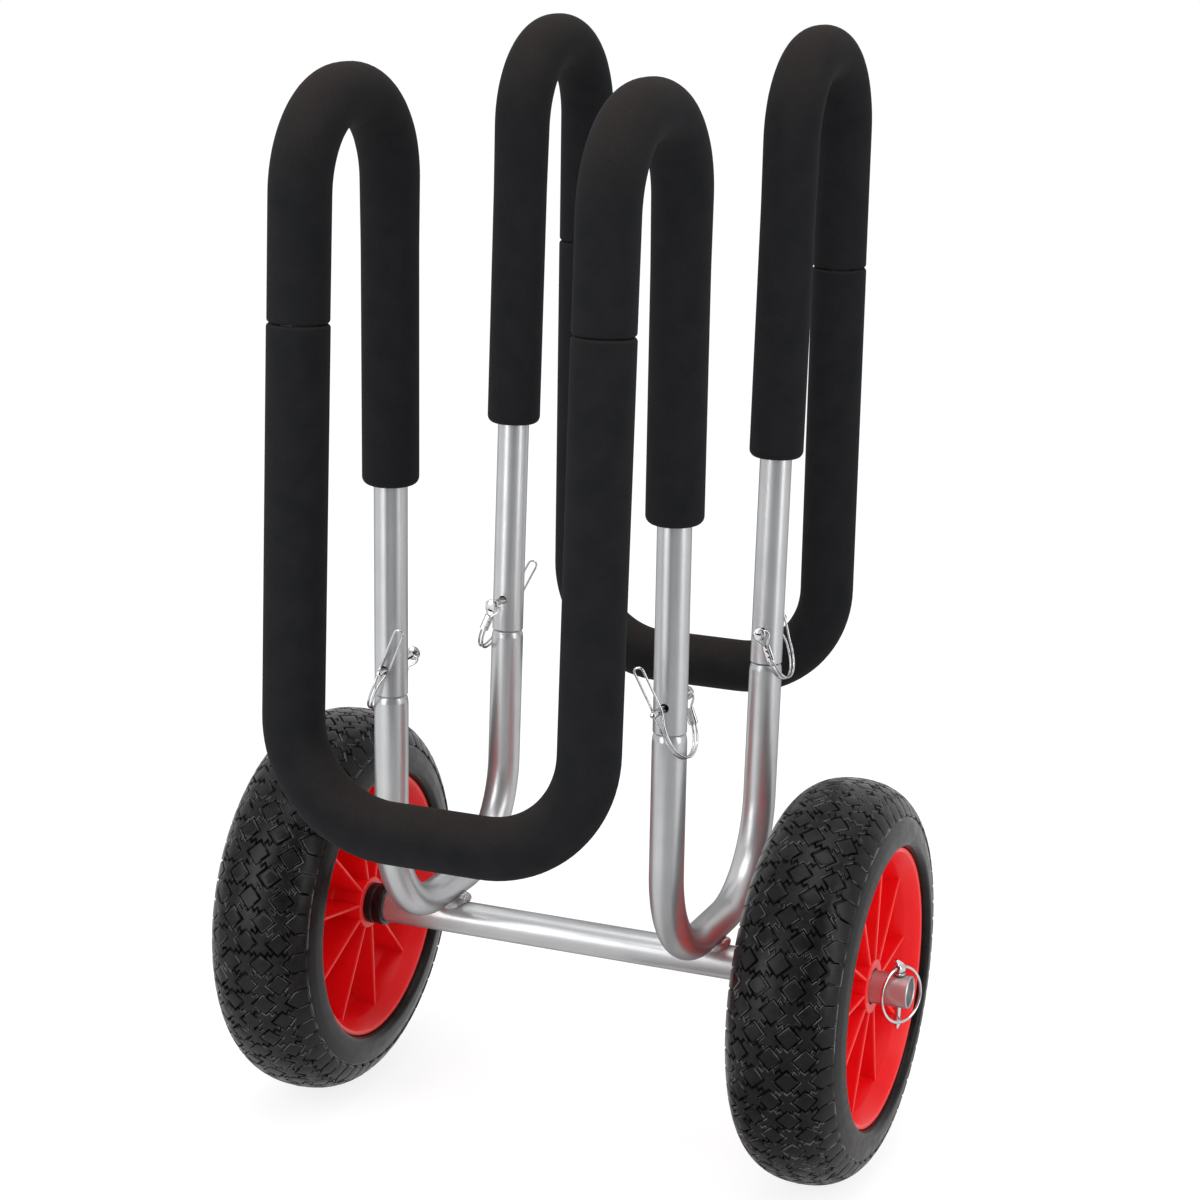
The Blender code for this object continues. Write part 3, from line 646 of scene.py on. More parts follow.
@dataclass
class Cradle:
    """A bent tube with two hook sleeves and the long sleeve round its bar."""

    end: End
    bore: float = 0.0109
    sides: int = 48
    tube_steps: tuple = (0.25, 6.0)
    foam_steps: tuple = (0.006, 4.0)
    hook_bend: float = 0.0655
    bar_bend: float = 0.077
    bar_height: float = 0.1634
    rim_ease: float = 0.0004
    foam_bore: float = 0.01305
    leg_foam: float = 0.0214
    arch_foam: float = 0.0223
    seam_foam: float = 0.0223 - 0.0003
    arch_blend: tuple = (-0.05, 0.03)
    bar_foam: float = 0.0223
    seam_gap: float = 0.0005
    end_round: float = 0.0062
    seam_round: float = 0.0026

    def __post_init__(self) -> None:
        end, top = self.end, TOP_HEIGHT[self.end]
        left = [LAYOUT.leg(Side.LEFT, end, height) for height in (LAYOUT.rim_height, top)]
        left += [LAYOUT.upright(Side.LEFT, end, height) for height in (top, self.bar_height)]
        right = [(-x, y, z) for x, y, z in reversed(left)]
        bends = [self.hook_bend, self.hook_bend, self.bar_bend]
        self.route = Route(left + right, bends + bends[::-1])

    def tube(self) -> Object:
        """The bent tube, with eased rims and the four holes for the lock pins."""
        total, radius = self.route.length, LAYOUT.tube_radius
        lengths = self.route.stations(0.0, total, *self.tube_steps)
        rim = [(0, radius - self.rim_ease), (self.rim_ease, radius)]
        outer = symmetric(rim, total, stacked(lengths[1:-1], radius))
        outline = np.concatenate([outer, stacked(lengths[::-1], self.bore)])
        shape = swept(self.route, outline, self.sides)
        obj = make_object(f"{self.end.value}_tube", shape, 35.0)
        drill(obj, [LAYOUT.pin_hole(side, self.end) for side in Side])
        keep_round(obj, self.route)
        return obj

    def sleeve(
        self, name: str, start: float, end: float, rounds: tuple, radii: np.ndarray
    ) -> Object:
        """A foam sleeve over part of the route.

        Its outline runs along the outside with a rounded edge at each end, and back
        along the bore. The rounding is a quarter of an ellipse.

        Args:
            name: the sleeve's name.
            start: the length along the route where it starts.
            end: the length where it ends.
            rounds: how far the edges at its start and end are rounded.
            radii: rows of length along the route and outer radius.
        """
        lengths = self.route.stations(start, end, *self.foam_steps)
        first, last = rounds
        middle = lengths[(lengths > start + first) & (lengths < end - last)]
        turn = np.linspace(0, math.pi / 2, 7)
        rows = []
        for edge, reach in ((start, first), (end, -last)):
            along = edge + reach * (1 - np.sin(turn))
            away = abs(reach) * (1 - np.cos(turn))
            rows.append(stacked(along, np.interp(along, *radii.T) - away))
        body = stacked(middle, np.interp(middle, *radii.T))
        bore = stacked(lengths[::-1], self.foam_bore)
        outline = np.concatenate([rows[0][::-1], body, rows[1], bore])
        return make_object(name, swept(self.route, outline, self.sides), 60.0)

    def sleeves(self) -> dict[str, Object]:
        """The two hook sleeves and the sleeve round the bar, by their node's name."""
        end, half, total = self.end, self.seam_gap / 2, self.route.length
        arch = self.route.pieces[1][0]
        spans, seams = {}, []
        for side in Side:
            corner = CORNERS[end, side]
            low = self.route.nearest(LAYOUT.leg(Side.LEFT, end, corner.foam_low))
            seam = self.route.nearest(LAYOUT.upright(Side.LEFT, end, corner.seam))
            radii = np.array(
                [(low, self.leg_foam), (arch + self.arch_blend[0], self.leg_foam),
                 (arch + self.arch_blend[1], self.arch_foam), (seam, self.seam_foam)]
            )
            span, rounds = (low, seam - half), (self.end_round, self.seam_round)
            if side is Side.RIGHT:
                span, rounds = (total - span[1], total - low), rounds[::-1]
                radii = mirrored(radii, total)
            spans[f"{end.value}_{side.value}_hook_foam"] = (*span, rounds, radii)
            seams.append(seam)
        radii = np.array([[0, self.bar_foam], [total, self.bar_foam]])
        rounds = (self.seam_round, self.seam_round)
        spans[f"{end.value}_bar_foam"] = (seams[0] + half, total - seams[1] - half, rounds, radii)
        return {
            node: self.sleeve(node.replace("foam", "sleeve"), *span)
            for node, span in spans.items()
        }

    def upward_tint(self, surface: Surface) -> None:
        """Paler, brownish grain wherever the foam faces up, more as it faces straight up."""
        tree = surface.tree
        normal = add_node(tree, "NewGeometry", out="Normal")
        up = add_node(tree, "SeparateXYZ", {0: normal}, "Z")
        # The tint rises as the normal turns upward
        upward_tint = add_node(tree, "MapRange", {0: up, 1: 0.1, 2: 1.0, 3: 0.0, 4: 0.75})
        grainy = add_node(tree, "Math", {0: upward_tint, 1: surface.fine}, operation="MULTIPLY")
        surface.tint(grainy, "#3a312b")

    def build(self) -> None:
        """Make the tube and its sleeves."""
        report(self.tube(), "chassis", DRAWN_TUBE, f"{self.end.value}_cradle_tube")
        for node, obj in self.sleeves().items():
            self.upward_tint(report(obj, "chassis", CELL_FOAM, node))


@dataclass
class LowerFrame:
    """A U-bent tube, necked at both ends, with its weld bead on the axle."""

    side: Side
    radius: float = 0.0131
    bore: float = 0.0113
    spigot: float = 0.0105
    spigot_bore: float = 0.0087
    spigot_height: float = 0.275
    rim_ease: float = 0.0004
    shoulder: float = 0.0090
    shoulder_power: float = 2.2
    bend: float = 0.080
    low_height: float = 0.0135 + 0.0131 + 0.0003
    axle_radius: float = 0.0135
    bead_half: float = 0.0112
    bead_inner: float = 0.0043
    bead_outer: float = 0.0034
    bead_rise: float = 0.75
    sides: int = 48
    tube_steps: tuple = (0.02, 3.0)
    clear: float = 0.001

    def tube(self) -> Object:
        """The bent tube with its necks.

        The shoulder's radius follows a flat ellipse from the neck to the full tube.
        """
        high, low = self.spigot_height, self.low_height
        places = [(End.FRONT, high), (End.FRONT, low), (End.REAR, low), (End.REAR, high)]
        corners = [LAYOUT.leg(self.side, end, height) for end, height in places]
        route = Route(corners, [self.bend, self.bend])
        total = route.length
        rim = route.nearest(LAYOUT.leg(self.side, End.FRONT, LAYOUT.rim_height)) + LAYOUT.gap
        top = rim + self.shoulder
        part = np.linspace(0, 1, 14)
        rise = (1 - (1 - part) ** self.shoulder_power) ** (1 / self.shoulder_power)
        outer_end = np.concatenate([
            [(0, self.spigot - self.rim_ease), (self.rim_ease, self.spigot)],
            stacked(rim + self.shoulder * part, self.spigot + (self.radius - self.spigot) * rise),
        ])
        inner_end = [(0, self.spigot_bore), (rim, self.spigot_bore), (top, self.bore)]
        span = (top + self.clear, total - top - self.clear)
        lengths = route.stations(*span, *self.tube_steps)
        outer = symmetric(outer_end, total, stacked(lengths, self.radius))
        inner = symmetric(inner_end, total, stacked(lengths, self.bore))
        shape = swept(route, np.concatenate([outer, inner[::-1]]), self.sides)
        obj = make_object(f"{self.side.value}_frame_tube", shape, 35.0)
        drill(obj, [LAYOUT.pin_hole(self.side, end) for end in End])
        keep_round(obj, route)
        return obj

    def weld(self) -> Object:
        """The two beads along the frame's flanks, where it crosses the axle.

        At a place y along the frame the axle's top is at h = sqrt(R^2 - y^2). A circle
        of radius s, sunk a little into both tubes, lies between them: its middle is at
        z = h + 0.75 s and at x = sqrt((r + 0.75 s)^2 - (c - z)^2) from the frame's
        middle at c. It ends where the tubes are too far apart for the circle to touch
        both. Ripples follow the weld's travel, and the ends are drawn in.
        """
        part = np.linspace(-1, 1, 90)[:, None]
        section = circle(28)
        along = self.bead_half * part
        beads = []
        for flank, size, seed in ((-1, self.bead_inner, 0.0), (1, self.bead_outer, 1.7)):
            ripple, swell = np.abs(np.sin(9.5 * part + seed)), np.sin(2.2 * part + seed)
            drawn_in = (1 - np.abs(part) ** 7) ** 0.5
            radius = size * (1 + 0.055 * ripple + 0.10 * swell) * drawn_in + 1e-6
            lifted = self.bead_rise * radius
            top = np.sqrt(self.axle_radius**2 - along**2) + lifted
            square = (self.radius + lifted) ** 2 - (self.low_height - top) ** 2
            out = np.sqrt(np.maximum(square, 0.0))
            ring = radius * (1 + 0.05 * np.sin(3 * section + 14 * part + seed))
            x = LAYOUT.leg_x + flank * (out + ring * np.cos(section))
            z = LAYOUT.axle_z + top + ring * np.sin(section)
            points = stacked(self.side.sign * x, along, z)[square[:, 0] > 0]
            beads.append(grid_shape(points, False, True).capped(len(section)))
        return make_object(f"{self.side.value}_weld_bead", beads[0].joined(beads[1]), 70.0)

    def build(self) -> None:
        """Make the frame and its weld."""
        name = self.side.value
        report(self.tube(), "chassis", DRAWN_TUBE, f"{name}_lower_frame")
        report(self.weld(), "chassis", WELD_BEAD, f"{name}_frame_weld")


@dataclass
class Axle:
    """The axle tube with its necked ends, and the two plastic collars."""

    radius: float = 0.0135
    end_radius: float = 0.0127
    bore: float = 0.0107
    rim_ease: float = 0.0006
    shoulder_x: float = 0.1655
    neck: float = 0.0015
    neck_corner: tuple = (0.4, 0.0002)
    end_x: float = 0.2757
    linch_x: float = 0.2665
    linch_hole: float = 0.0029
    drill_reach: float = 0.02
    collar_radius: float = 0.0165
    collar_play: float = 0.0004
    collar_x: tuple = (0.1673, 0.18215)
    collar_groove: tuple = (0.0018, 0.0012, 0.0006)
    collar_round: float = 0.0008

    def tube(self) -> Object:
        """The axle, drilled upright near both ends."""
        z, shoulder = LAYOUT.axle_z, self.end_x - self.shoulder_x
        route = Route([(-self.end_x, 0, z), (self.end_x, 0, z)], [])
        outer = [
            (0, self.end_radius - self.rim_ease), (self.rim_ease, self.end_radius),
            (shoulder - self.neck, self.end_radius),
            (shoulder - self.neck_corner[0] * self.neck, self.radius - self.neck_corner[1]),
            (shoulder, self.radius),
        ]
        inner = [(0, self.bore + self.rim_ease), (self.rim_ease, self.bore)]
        total = route.length
        outline = np.concatenate([symmetric(outer, total), symmetric(inner, total)[::-1]])
        obj = make_object("axle", swept(route, outline, 64, (0, 0, 1)), 35.0)
        low, high = z - self.drill_reach, z + self.drill_reach
        places = (-self.linch_x, self.linch_x)
        drill(obj, [rod((x, 0, low), (x, 0, high), self.linch_hole) for x in places])
        keep_round(obj, route)
        return obj

    def collar(self, side: Side) -> Object:
        """A plastic spacer with eased edges and a shallow groove round it."""
        low, high = self.collar_x
        middle, outer = (low + high) / 2, self.collar_radius
        bore = self.end_radius + self.collar_play
        wide, narrow, depth = self.collar_groove
        half = [(low, bore), (low, outer), (middle - wide, outer), (middle - narrow, outer - depth)]
        outline = rounded(symmetric(half, low + high) * (side.sign, 1), self.collar_round)
        shape = turned(outline, circle(72)).placed(placement((0, 0, LAYOUT.axle_z)))
        return make_object(f"{side.value}_collar", shape, 40.0)

    def build(self) -> None:
        """Make the axle and its collars."""
        report(self.tube(), "chassis", DRAWN_TUBE, "axle_tube")
        for side in Side:
            report(self.collar(side), "chassis", BLACK_ACETAL, f"{side.value}_axle_collar")


def offset_outline(outline: np.ndarray, distance: float) -> np.ndarray:
    """A closed outline moved inwards by a distance, with mitred corners.

    The outline runs anticlockwise. Each corner moves along the sum of the normals of
    its two sides, divided by one plus their dot product.
    """
    side = unit(np.roll(outline, -1, axis=0) - outline)
    normal = stacked(-side[:, 1], side[:, 0])
    before = np.roll(normal, 1, axis=0)
    mitre = (normal + before) / (1 + np.sum(normal * before, axis=1, keepdims=True))
    return outline + distance * mitre


@dataclass
class Tread:
    """One of the equal sectors of the tyre's tread, laid out flat in millimetres.

    The first number is across the tread from its middle, the second round it. Squares
    on their corners alternate with crosses whose arms meet in stepped joints, and
    bars run down both shoulders.
    """

    sectors: int = 28
    crown_radius: float = 157.0
    column: float = 13.4
    half_width: float = 8.6
    half_height: float = 8.6 + 0.2
    groove: float = 1.5
    step: float = 0.19
    chamfer: float = 0.45
    draft: float = 0.45
    end: float = 51.0
    bar_groove: float = 1.6
    bar_bevel: float = 1.5
    cells: tuple = (40, 8)
    clear: tuple = (0.5, 0.8)

    @property
    def pitch(self) -> float:
        """Length of a sector round the crown."""
        return 2 * math.pi * self.crown_radius / self.sectors

    @property
    def row(self) -> float:
        """Distance between rows of squares."""
        return self.pitch / 2

    def arm(self) -> np.ndarray:
        """The outer end of a cross's upper left arm, from the left notch to the top.

        The arm lies between the square at its left and the square above it. Half of
        its width reaches past the middle of that lane and half stops short of it.
        """
        wide, high = self.half_width, self.half_height
        normal = np.array([1 / wide, 1 / high]) / math.hypot(1 / wide, 1 / high)
        left = np.array([[-self.column + wide, 0], [-self.column, high]])
        top = np.array([[0, self.row - high], [-wide, self.row]])
        low_edge, high_edge = left + normal * self.groove, top - normal * self.groove
        centre = (low_edge + high_edge) / 2 - normal * self.groove / 2
        spare = self.groove / np.linalg.norm(left[1] - left[0])
        long, short = 0.5 + self.step - spare / 2, 0.5 - self.step - spare / 2
        ends = ((low_edge, long), (centre, long), (centre, short), (high_edge, short))
        return np.array([line[0] + (line[1] - line[0]) * part for line, part in ends])

    def square(self) -> np.ndarray:
        """A square on its corner, about the origin."""
        wide, high = self.half_width, self.half_height
        return np.array([(wide, 0), (0, high), (-wide, 0), (0, -high)])

    def notch(self) -> tuple[float, float]:
        """How far the corners of a cross's notches are from its middle."""
        wide, high = self.half_width, self.half_height
        grow = 1 + self.groove * math.hypot(1 / wide, 1 / high)
        return self.column - wide * grow, self.row - high * grow

    def cross(self) -> np.ndarray:
        """A cross about the origin, anticlockwise."""
        arm, (side, top) = self.arm(), self.notch()
        half = [[(-side, 0)], arm, [(0, top)], arm[::-1] * (-1, 1)]
        half = np.concatenate([np.array(part, float) for part in half])
        return np.concatenate([half, -half])[::-1]

    def shoulder_bars(self) -> tuple[np.ndarray, np.ndarray]:
        """The two kinds of bar on the right shoulder, about their column, anticlockwise."""
        reach = (self.row - self.bar_groove) / 2
        out, bevel = self.end - 3 * self.column, self.bar_bevel
        tip = [(out - bevel, -reach), (out, -reach + bevel), (out, reach - bevel),
               (out - bevel, reach)]
        point = self.half_width * (1 - reach / self.half_height)
        arm, (side, _) = self.arm(), self.notch()
        grow = (self.column - side) / self.half_width
        meet = -self.half_width * (grow + (reach - self.row) / self.half_height)
        pointed = [(-self.half_width, 0), (-point, -reach), *tip, (-point, reach)]
        forked = [*arm[::-1], (-side, 0), *(arm * (1, -1)), (meet, -reach), *tip, (meet, reach)]
        return np.array(pointed), np.array(forked)

    def blocks(self) -> list[np.ndarray]:
        """Outlines of every block that reaches into one sector."""
        found, bars = [], self.shoulder_bars()
        for row in range(-1, 4):
            for column in range(-2, 3):
                kind = self.square() if (column + row) % 2 == 0 else self.cross()
                found.append(kind + (column * self.column, row * self.row))
            bar = bars[(row + 1) % 2]
            found.append(bar + (3 * self.column, row * self.row))
            found.append((bar * (-1, 1))[::-1] + (-3 * self.column, row * self.row))
        return found

    def inside(self, points: np.ndarray, blocks: list[np.ndarray]) -> np.ndarray:
        """How far each point is inside the nearest block, negative outside.

        The distance to a side is that to the nearest point of its segment, and a point
        is inside where a ray from it crosses the outline an odd number of times.
        """
        best = np.full(len(points), -np.inf)
        across, down = points[:, :1], points[:, 1:]
        for start in blocks:
            end = np.roll(start, -1, axis=0)
            span = end - start
            away = points[:, None] - start
            part = np.clip(np.sum(away * span, axis=-1) / np.sum(span * span, axis=-1), 0, 1)
            distance = np.linalg.norm(away - part[..., None] * span, axis=-1).min(axis=1)
            above = (start[:, 1] > down) != (end[:, 1] > down)
            rise = np.where(np.abs(span[:, 1]) < 1e-9, 1e-9, span[:, 1])
            crossing = start[:, 0] + (down - start[:, 1]) * span[:, 0] / rise
            odd = np.sum(above & (across < crossing), axis=1) % 2 == 1
            best = np.maximum(best, np.where(odd, distance, -distance))
        return best

    def sector(self, edge: float) -> tuple[np.ndarray, np.ndarray, np.ndarray]:
        """One sector's points, triangles and how deep each point is inside a block.

        Args:
            edge: how far the sector reaches on both sides, onto the sidewalls.
        """
        low, high = -0.5 * self.row, 1.5 * self.row
        blocks = self.blocks()
        offsets = (0.0, self.chamfer, -self.draft)
        rings = [offset_outline(block, offset) for block in blocks for offset in offsets]
        lines = (np.linspace(-edge, edge, self.cells[0] + 1),
                 np.linspace(low, high, self.cells[1] + 1))
        spread = np.stack(np.meshgrid(*lines, indexing="ij"), axis=-1).reshape(-1, 2)
        across, down = np.abs(spread[:, 0]), spread[:, 1]
        deep = self.inside(spread, blocks) > self.chamfer + self.clear[0]
        border = (np.abs(across - edge) < 1e-6) | (down == low) | (down == high)
        spread = spread[border | deep | (across > self.end + self.clear[1])]
        corners = [(-edge, low), (edge, low), (edge, high), (-edge, high)]
        edges = [(0, 1), (1, 2), (2, 3), (3, 0)]
        start = len(corners) + len(spread)
        for ring in rings:
            count = len(ring)
            edges += [(start + i, start + (i + 1) % count) for i in range(count)]
            start += count
        points = np.concatenate([np.array(corners), spread, *rings])
        made, _, faces, *_ = delaunay_2d_cdt(points.tolist(), edges, [], 0, 1e-5)
        flat = np.array([tuple(point) for point in made])
        triangles = np.array([face for face in faces if len(face) == 3])
        x, y = flat[triangles].mean(axis=1).T
        triangles = triangles[(np.abs(x) < edge) & (y > low) & (y < high)]
        used, triangles = np.unique(triangles, return_inverse=True)
        flat = flat[used]
        return flat, triangles.reshape(-1, 3), self.inside(flat, blocks)


@dataclass
class Wheel:
    """A moulded hub with ribs on both faces, and a solid tyre with a block tread."""

    side: Side
    tyre_radius: float = 0.157
    half_width: float = 0.0454
    crown_height: float = 0.043
    crown_power: float = 2.3
    lip: float = 0.109
    lip_half: float = 0.0392
    barrel: float = 0.1025
    barrel_half: float = 0.030
    boss: float = 0.021
    boss_half: float = 0.032
    bore: float = 0.0137
    hub_round: float = 0.0011
    ribs: int = 10
    rib_half: float = 0.0012
    rib_top: tuple = ((0.0245, 0.0983), (0.031, 0.0276))
    groove_depth: float = 0.0027
    seat_gap: float = 0.0004
    moulding: tuple = (64.5, 0.7, 0.0005)
    parting: tuple = (0.0, 0.35, 0.00015)
    hub_steps: int = 160
    seat_steps: int = 8
    tread: Tread = field(default_factory=Tread)
    rib_angle: dict = field(default_factory=lambda: {Side.LEFT: 28.4, Side.RIGHT: 3.3})
    tread_angle: dict = field(default_factory=lambda: {Side.LEFT: 149.3, Side.RIGHT: 156.2})

    @property
    def place(self) -> np.ndarray:
        """Where the wheel's own middle goes."""
        return placement((self.side.sign * LAYOUT.wheel_x, 0, LAYOUT.axle_z))

    def hub(self) -> Object:
        """The turned hub with its dished faces and ribs."""
        half = [
            (self.barrel_half, self.barrel), (self.lip_half - 0.0035, self.lip),
            (self.lip_half, self.lip), (self.lip_half, self.lip - 0.0035), (0.0335, 0.1018),
            (0.0276, 0.0983), (0.020, 0.0958), (0.012, 0.0935), (0.0065, 0.0890),
            (0.005, 0.083), (0.005, 0.024), (0.0075, self.boss), (self.boss_half, self.boss),
            (self.boss_half, self.bore),
        ]
        body = turned(rounded(symmetric(half), self.hub_round), circle(self.hub_steps))
        across, radius = np.abs(body.points[:, 0]), np.hypot(*body.points[:, 1:].T)
        # The edge value marks where a painted highlight goes: round the rim's lip and the boss's
        # flange
        rim = ease(across, self.lip_half - 0.0012, self.lip_half) * (radius > 0.09)
        flange_highlight = ease(across, self.boss_half - 0.001, self.boss_half) * (radius < 0.03)
        body.values["edge"] = (rim + 0.8 * flange_highlight)[:, None]
        ribs = [self.rib(face, index) for face in (-1, 1) for index in range(self.ribs)]
        shape = body.joined(*ribs).placed(self.place)
        return make_object(f"{self.side.value}_hub", shape, 38.0)

    def rib(self, face: int, index: int) -> Shape:
        """One radial rib, thicker at its foot and rounded along its top edge.

        Its section at each radius is a closed loop from the web up to the top edge,
        which falls from the boss to the barrel in a straight line.
        """
        radius = np.linspace(self.boss - 0.001, 0.1000, 16)[:, None]
        (near, far), (high, low) = self.rib_top
        top = high - (radius - near) * (high - low) / (far - near)
        foot = np.interp(radius, [0.0, 0.083, 0.0935, 0.1], [0.0035, 0.0035, 0.0110, 0.0200])
        half = [(0.0, 1.9), (0.10, 1.35), (0.5, 1.1), (0.93, 1.0), (0.985, 0.8), (1.0, 0.4)]
        part, wide = np.array(half + [(p, -w) for p, w in reversed(half)]).T
        width = wide * self.rib_half
        angle = math.radians(self.rib_angle[self.side]) + 2 * math.pi * index / self.ribs
        cos, sin = math.cos(angle), math.sin(angle)
        height = foot + (top - foot) * part
        points = stacked(face * height, radius * cos - width * sin, radius * sin + width * cos)
        # The edge value marks the rib's top edge for a painted highlight
        edge = np.broadcast_to((part > 0.95) * 1.0, height.shape)
        return grid_shape(points, False, True, edge=edge[..., None]).capped(len(part))

    def section(self) -> tuple[np.ndarray, np.ndarray, np.ndarray]:
        """The tyre's outer section: distance from the middle in mm, points and normals.

        The section is a flattened ellipse, x = w sin(t)^(2/p) and r = c + h cos(t)^(2/p),
        measured by its own length.
        """
        turn = np.linspace(-math.pi / 2, math.pi / 2, 2001)
        power = 2 / self.crown_power
        x = self.half_width * squared(np.sin(turn), power)
        rise = self.crown_height * np.abs(np.cos(turn)) ** power
        points = stacked(x, self.tyre_radius - self.crown_height + rise)
        steps = np.linalg.norm(np.diff(points, axis=0), axis=1)
        length = np.concatenate([[0], np.cumsum(steps)])
        length -= length[-1] / 2
        tangent = unit(np.gradient(points, axis=0))
        return length * 1000, points, stacked(-tangent[:, 1], tangent[:, 0])

    def tyre(self) -> Object:
        """The tyre: a tread of repeated sectors joined to its seat on the hub.

        A tread point at (s, c) goes to the section's point at s, moved inwards by its
        depth, and turned about the axle by c over the crown's radius. The moulding
        lines are raised by a bell curve.
        """
        tread = self.tread
        length, section, normal = self.section()
        edge = float(length[-1])
        flat, triangles, inside = tread.sector(edge)
        across = np.abs(flat[:, 0])
        beyond = across > tread.end + 0.9
        floor = np.interp(across, [38, 50, tread.end, 66], [1.0, 0.75, 0.42, 0.30])
        rise = np.interp(inside, [-tread.draft, 0, tread.chamfer], [1.0, 0.22, 0.0])
        sunk = self.groove_depth * floor * np.where(beyond, 1.0, rise)
        for (middle, width, height), where in ((self.moulding, True), (self.parting, inside > 0.2)):
            sunk = sunk - height * bell(across, middle, width) * where
        sunk[across > edge - 1e-3] = 0.0
        x, radius = (
            np.interp(flat[:, 0], length, section[:, i])
            - np.interp(flat[:, 0], length, normal[:, i]) * sunk
            for i in (0, 1)
        )
        start = math.radians(self.tread_angle[self.side])
        angle = start + circle(tread.sectors)[:, None] + flat[:, 1] / tread.crown_radius
        points = about_x(x, radius, angle).reshape(-1, 3)
        faces = triangles + np.arange(tread.sectors)[:, None, None] * len(flat)
        # The groove value carries how sunken each point is; the material paints shade in the
        # grooves and glints along the block edges from it
        groove = np.broadcast_to(np.where(beyond, 0.0, rise), angle.shape).reshape(-1, 1)
        body = Shape(points, [faces.reshape(-1, 3)], {"groove": groove})
        lip_seat = self.lip + self.seat_gap
        half = [
            (self.half_width, self.tyre_radius - self.crown_height), (0.0446, 0.1116),
            (0.0430, 0.1102), (self.lip_half + 0.0012, lip_seat),
            (self.lip_half - 0.0037, lip_seat),
            (self.barrel_half - 0.0002, self.barrel + self.seat_gap),
        ]
        start -= 0.5 * tread.row / tread.crown_radius
        seat = turned(symmetric(half), start + circle(tread.sectors * self.seat_steps), False)
        seat.values["groove"] = np.zeros((len(seat.points), 1))
        shape = body.joined(seat).placed(self.place)
        return make_object(f"{self.side.value}_tyre_tread", shape, 42.0)

    def paint_edge_highlights(self, surface: Surface) -> None:
        """Painted highlight: paler red on the rounded rims and on the ribs' top edges."""
        tree = surface.tree
        edge = add_node(tree, "Attribute", out="Fac", attribute_name="edge")
        # Painted highlight: the edge value blends in a paler red
        surface.tint(add_node(tree, "Math", {0: edge, 1: 0.55}, operation="MULTIPLY"), "#ff5a55")

    def paint_groove_shade_and_glints(self, surface: Surface) -> None:
        """Painted shade in the grooves, and painted glints: glossier, paler edges on parts of the
        tread's blocks.
        """
        tree = surface.tree
        sunken = add_node(tree, "Attribute", out="Fac", attribute_name="groove")
        # Painted shade: the sunken grooves are tinted near black
        surface.tint(add_node(tree, "MapRange", {0: sunken, 1: 0.5, 2: 1.0, 4: 0.75}), "#08080a")
        rising = add_node(tree, "MapRange", {0: sunken, 1: 0.02, 2: 0.22})
        falling = add_node(tree, "MapRange", {0: sunken, 1: 0.30, 2: 0.62, 3: 1.0, 4: 0.0})
        patches = add_node(tree, "TexNoise", {"Vector": surface.source, "Scale": 95.0})
        glint_patches = add_node(tree, "MapRange", {0: patches, 1: 0.46, 2: 0.60})
        edges = add_node(tree, "Math", {0: rising, 1: falling}, operation="MULTIPLY")
        gloss_and_glint = add_node(tree, "Math", {0: edges, 1: glint_patches}, operation="MULTIPLY")
        faint = add_node(tree, "Math", {0: gloss_and_glint, 1: 0.62}, operation="MULTIPLY")
        # Painted glints: a pale tint on the block edges, in patches
        surface.tint(faint, "#8d9097")
        gloss = add_node(tree, "Mix", {"Factor": gloss_and_glint, 2: surface.rough, 3: 0.14})
        tree.links.new(gloss, surface.shader.inputs["Roughness"])

    def build(self) -> None:
        """Make the hub and the tyre."""
        name = self.side.value
        self.paint_edge_highlights(report(self.hub(), f"{name}_wheel", RED_NYLON, f"{name}_wheel_hub"))
        self.paint_groove_shade_and_glints(report(self.tyre(), f"{name}_wheel", RUBBER, f"{name}_tyre"))


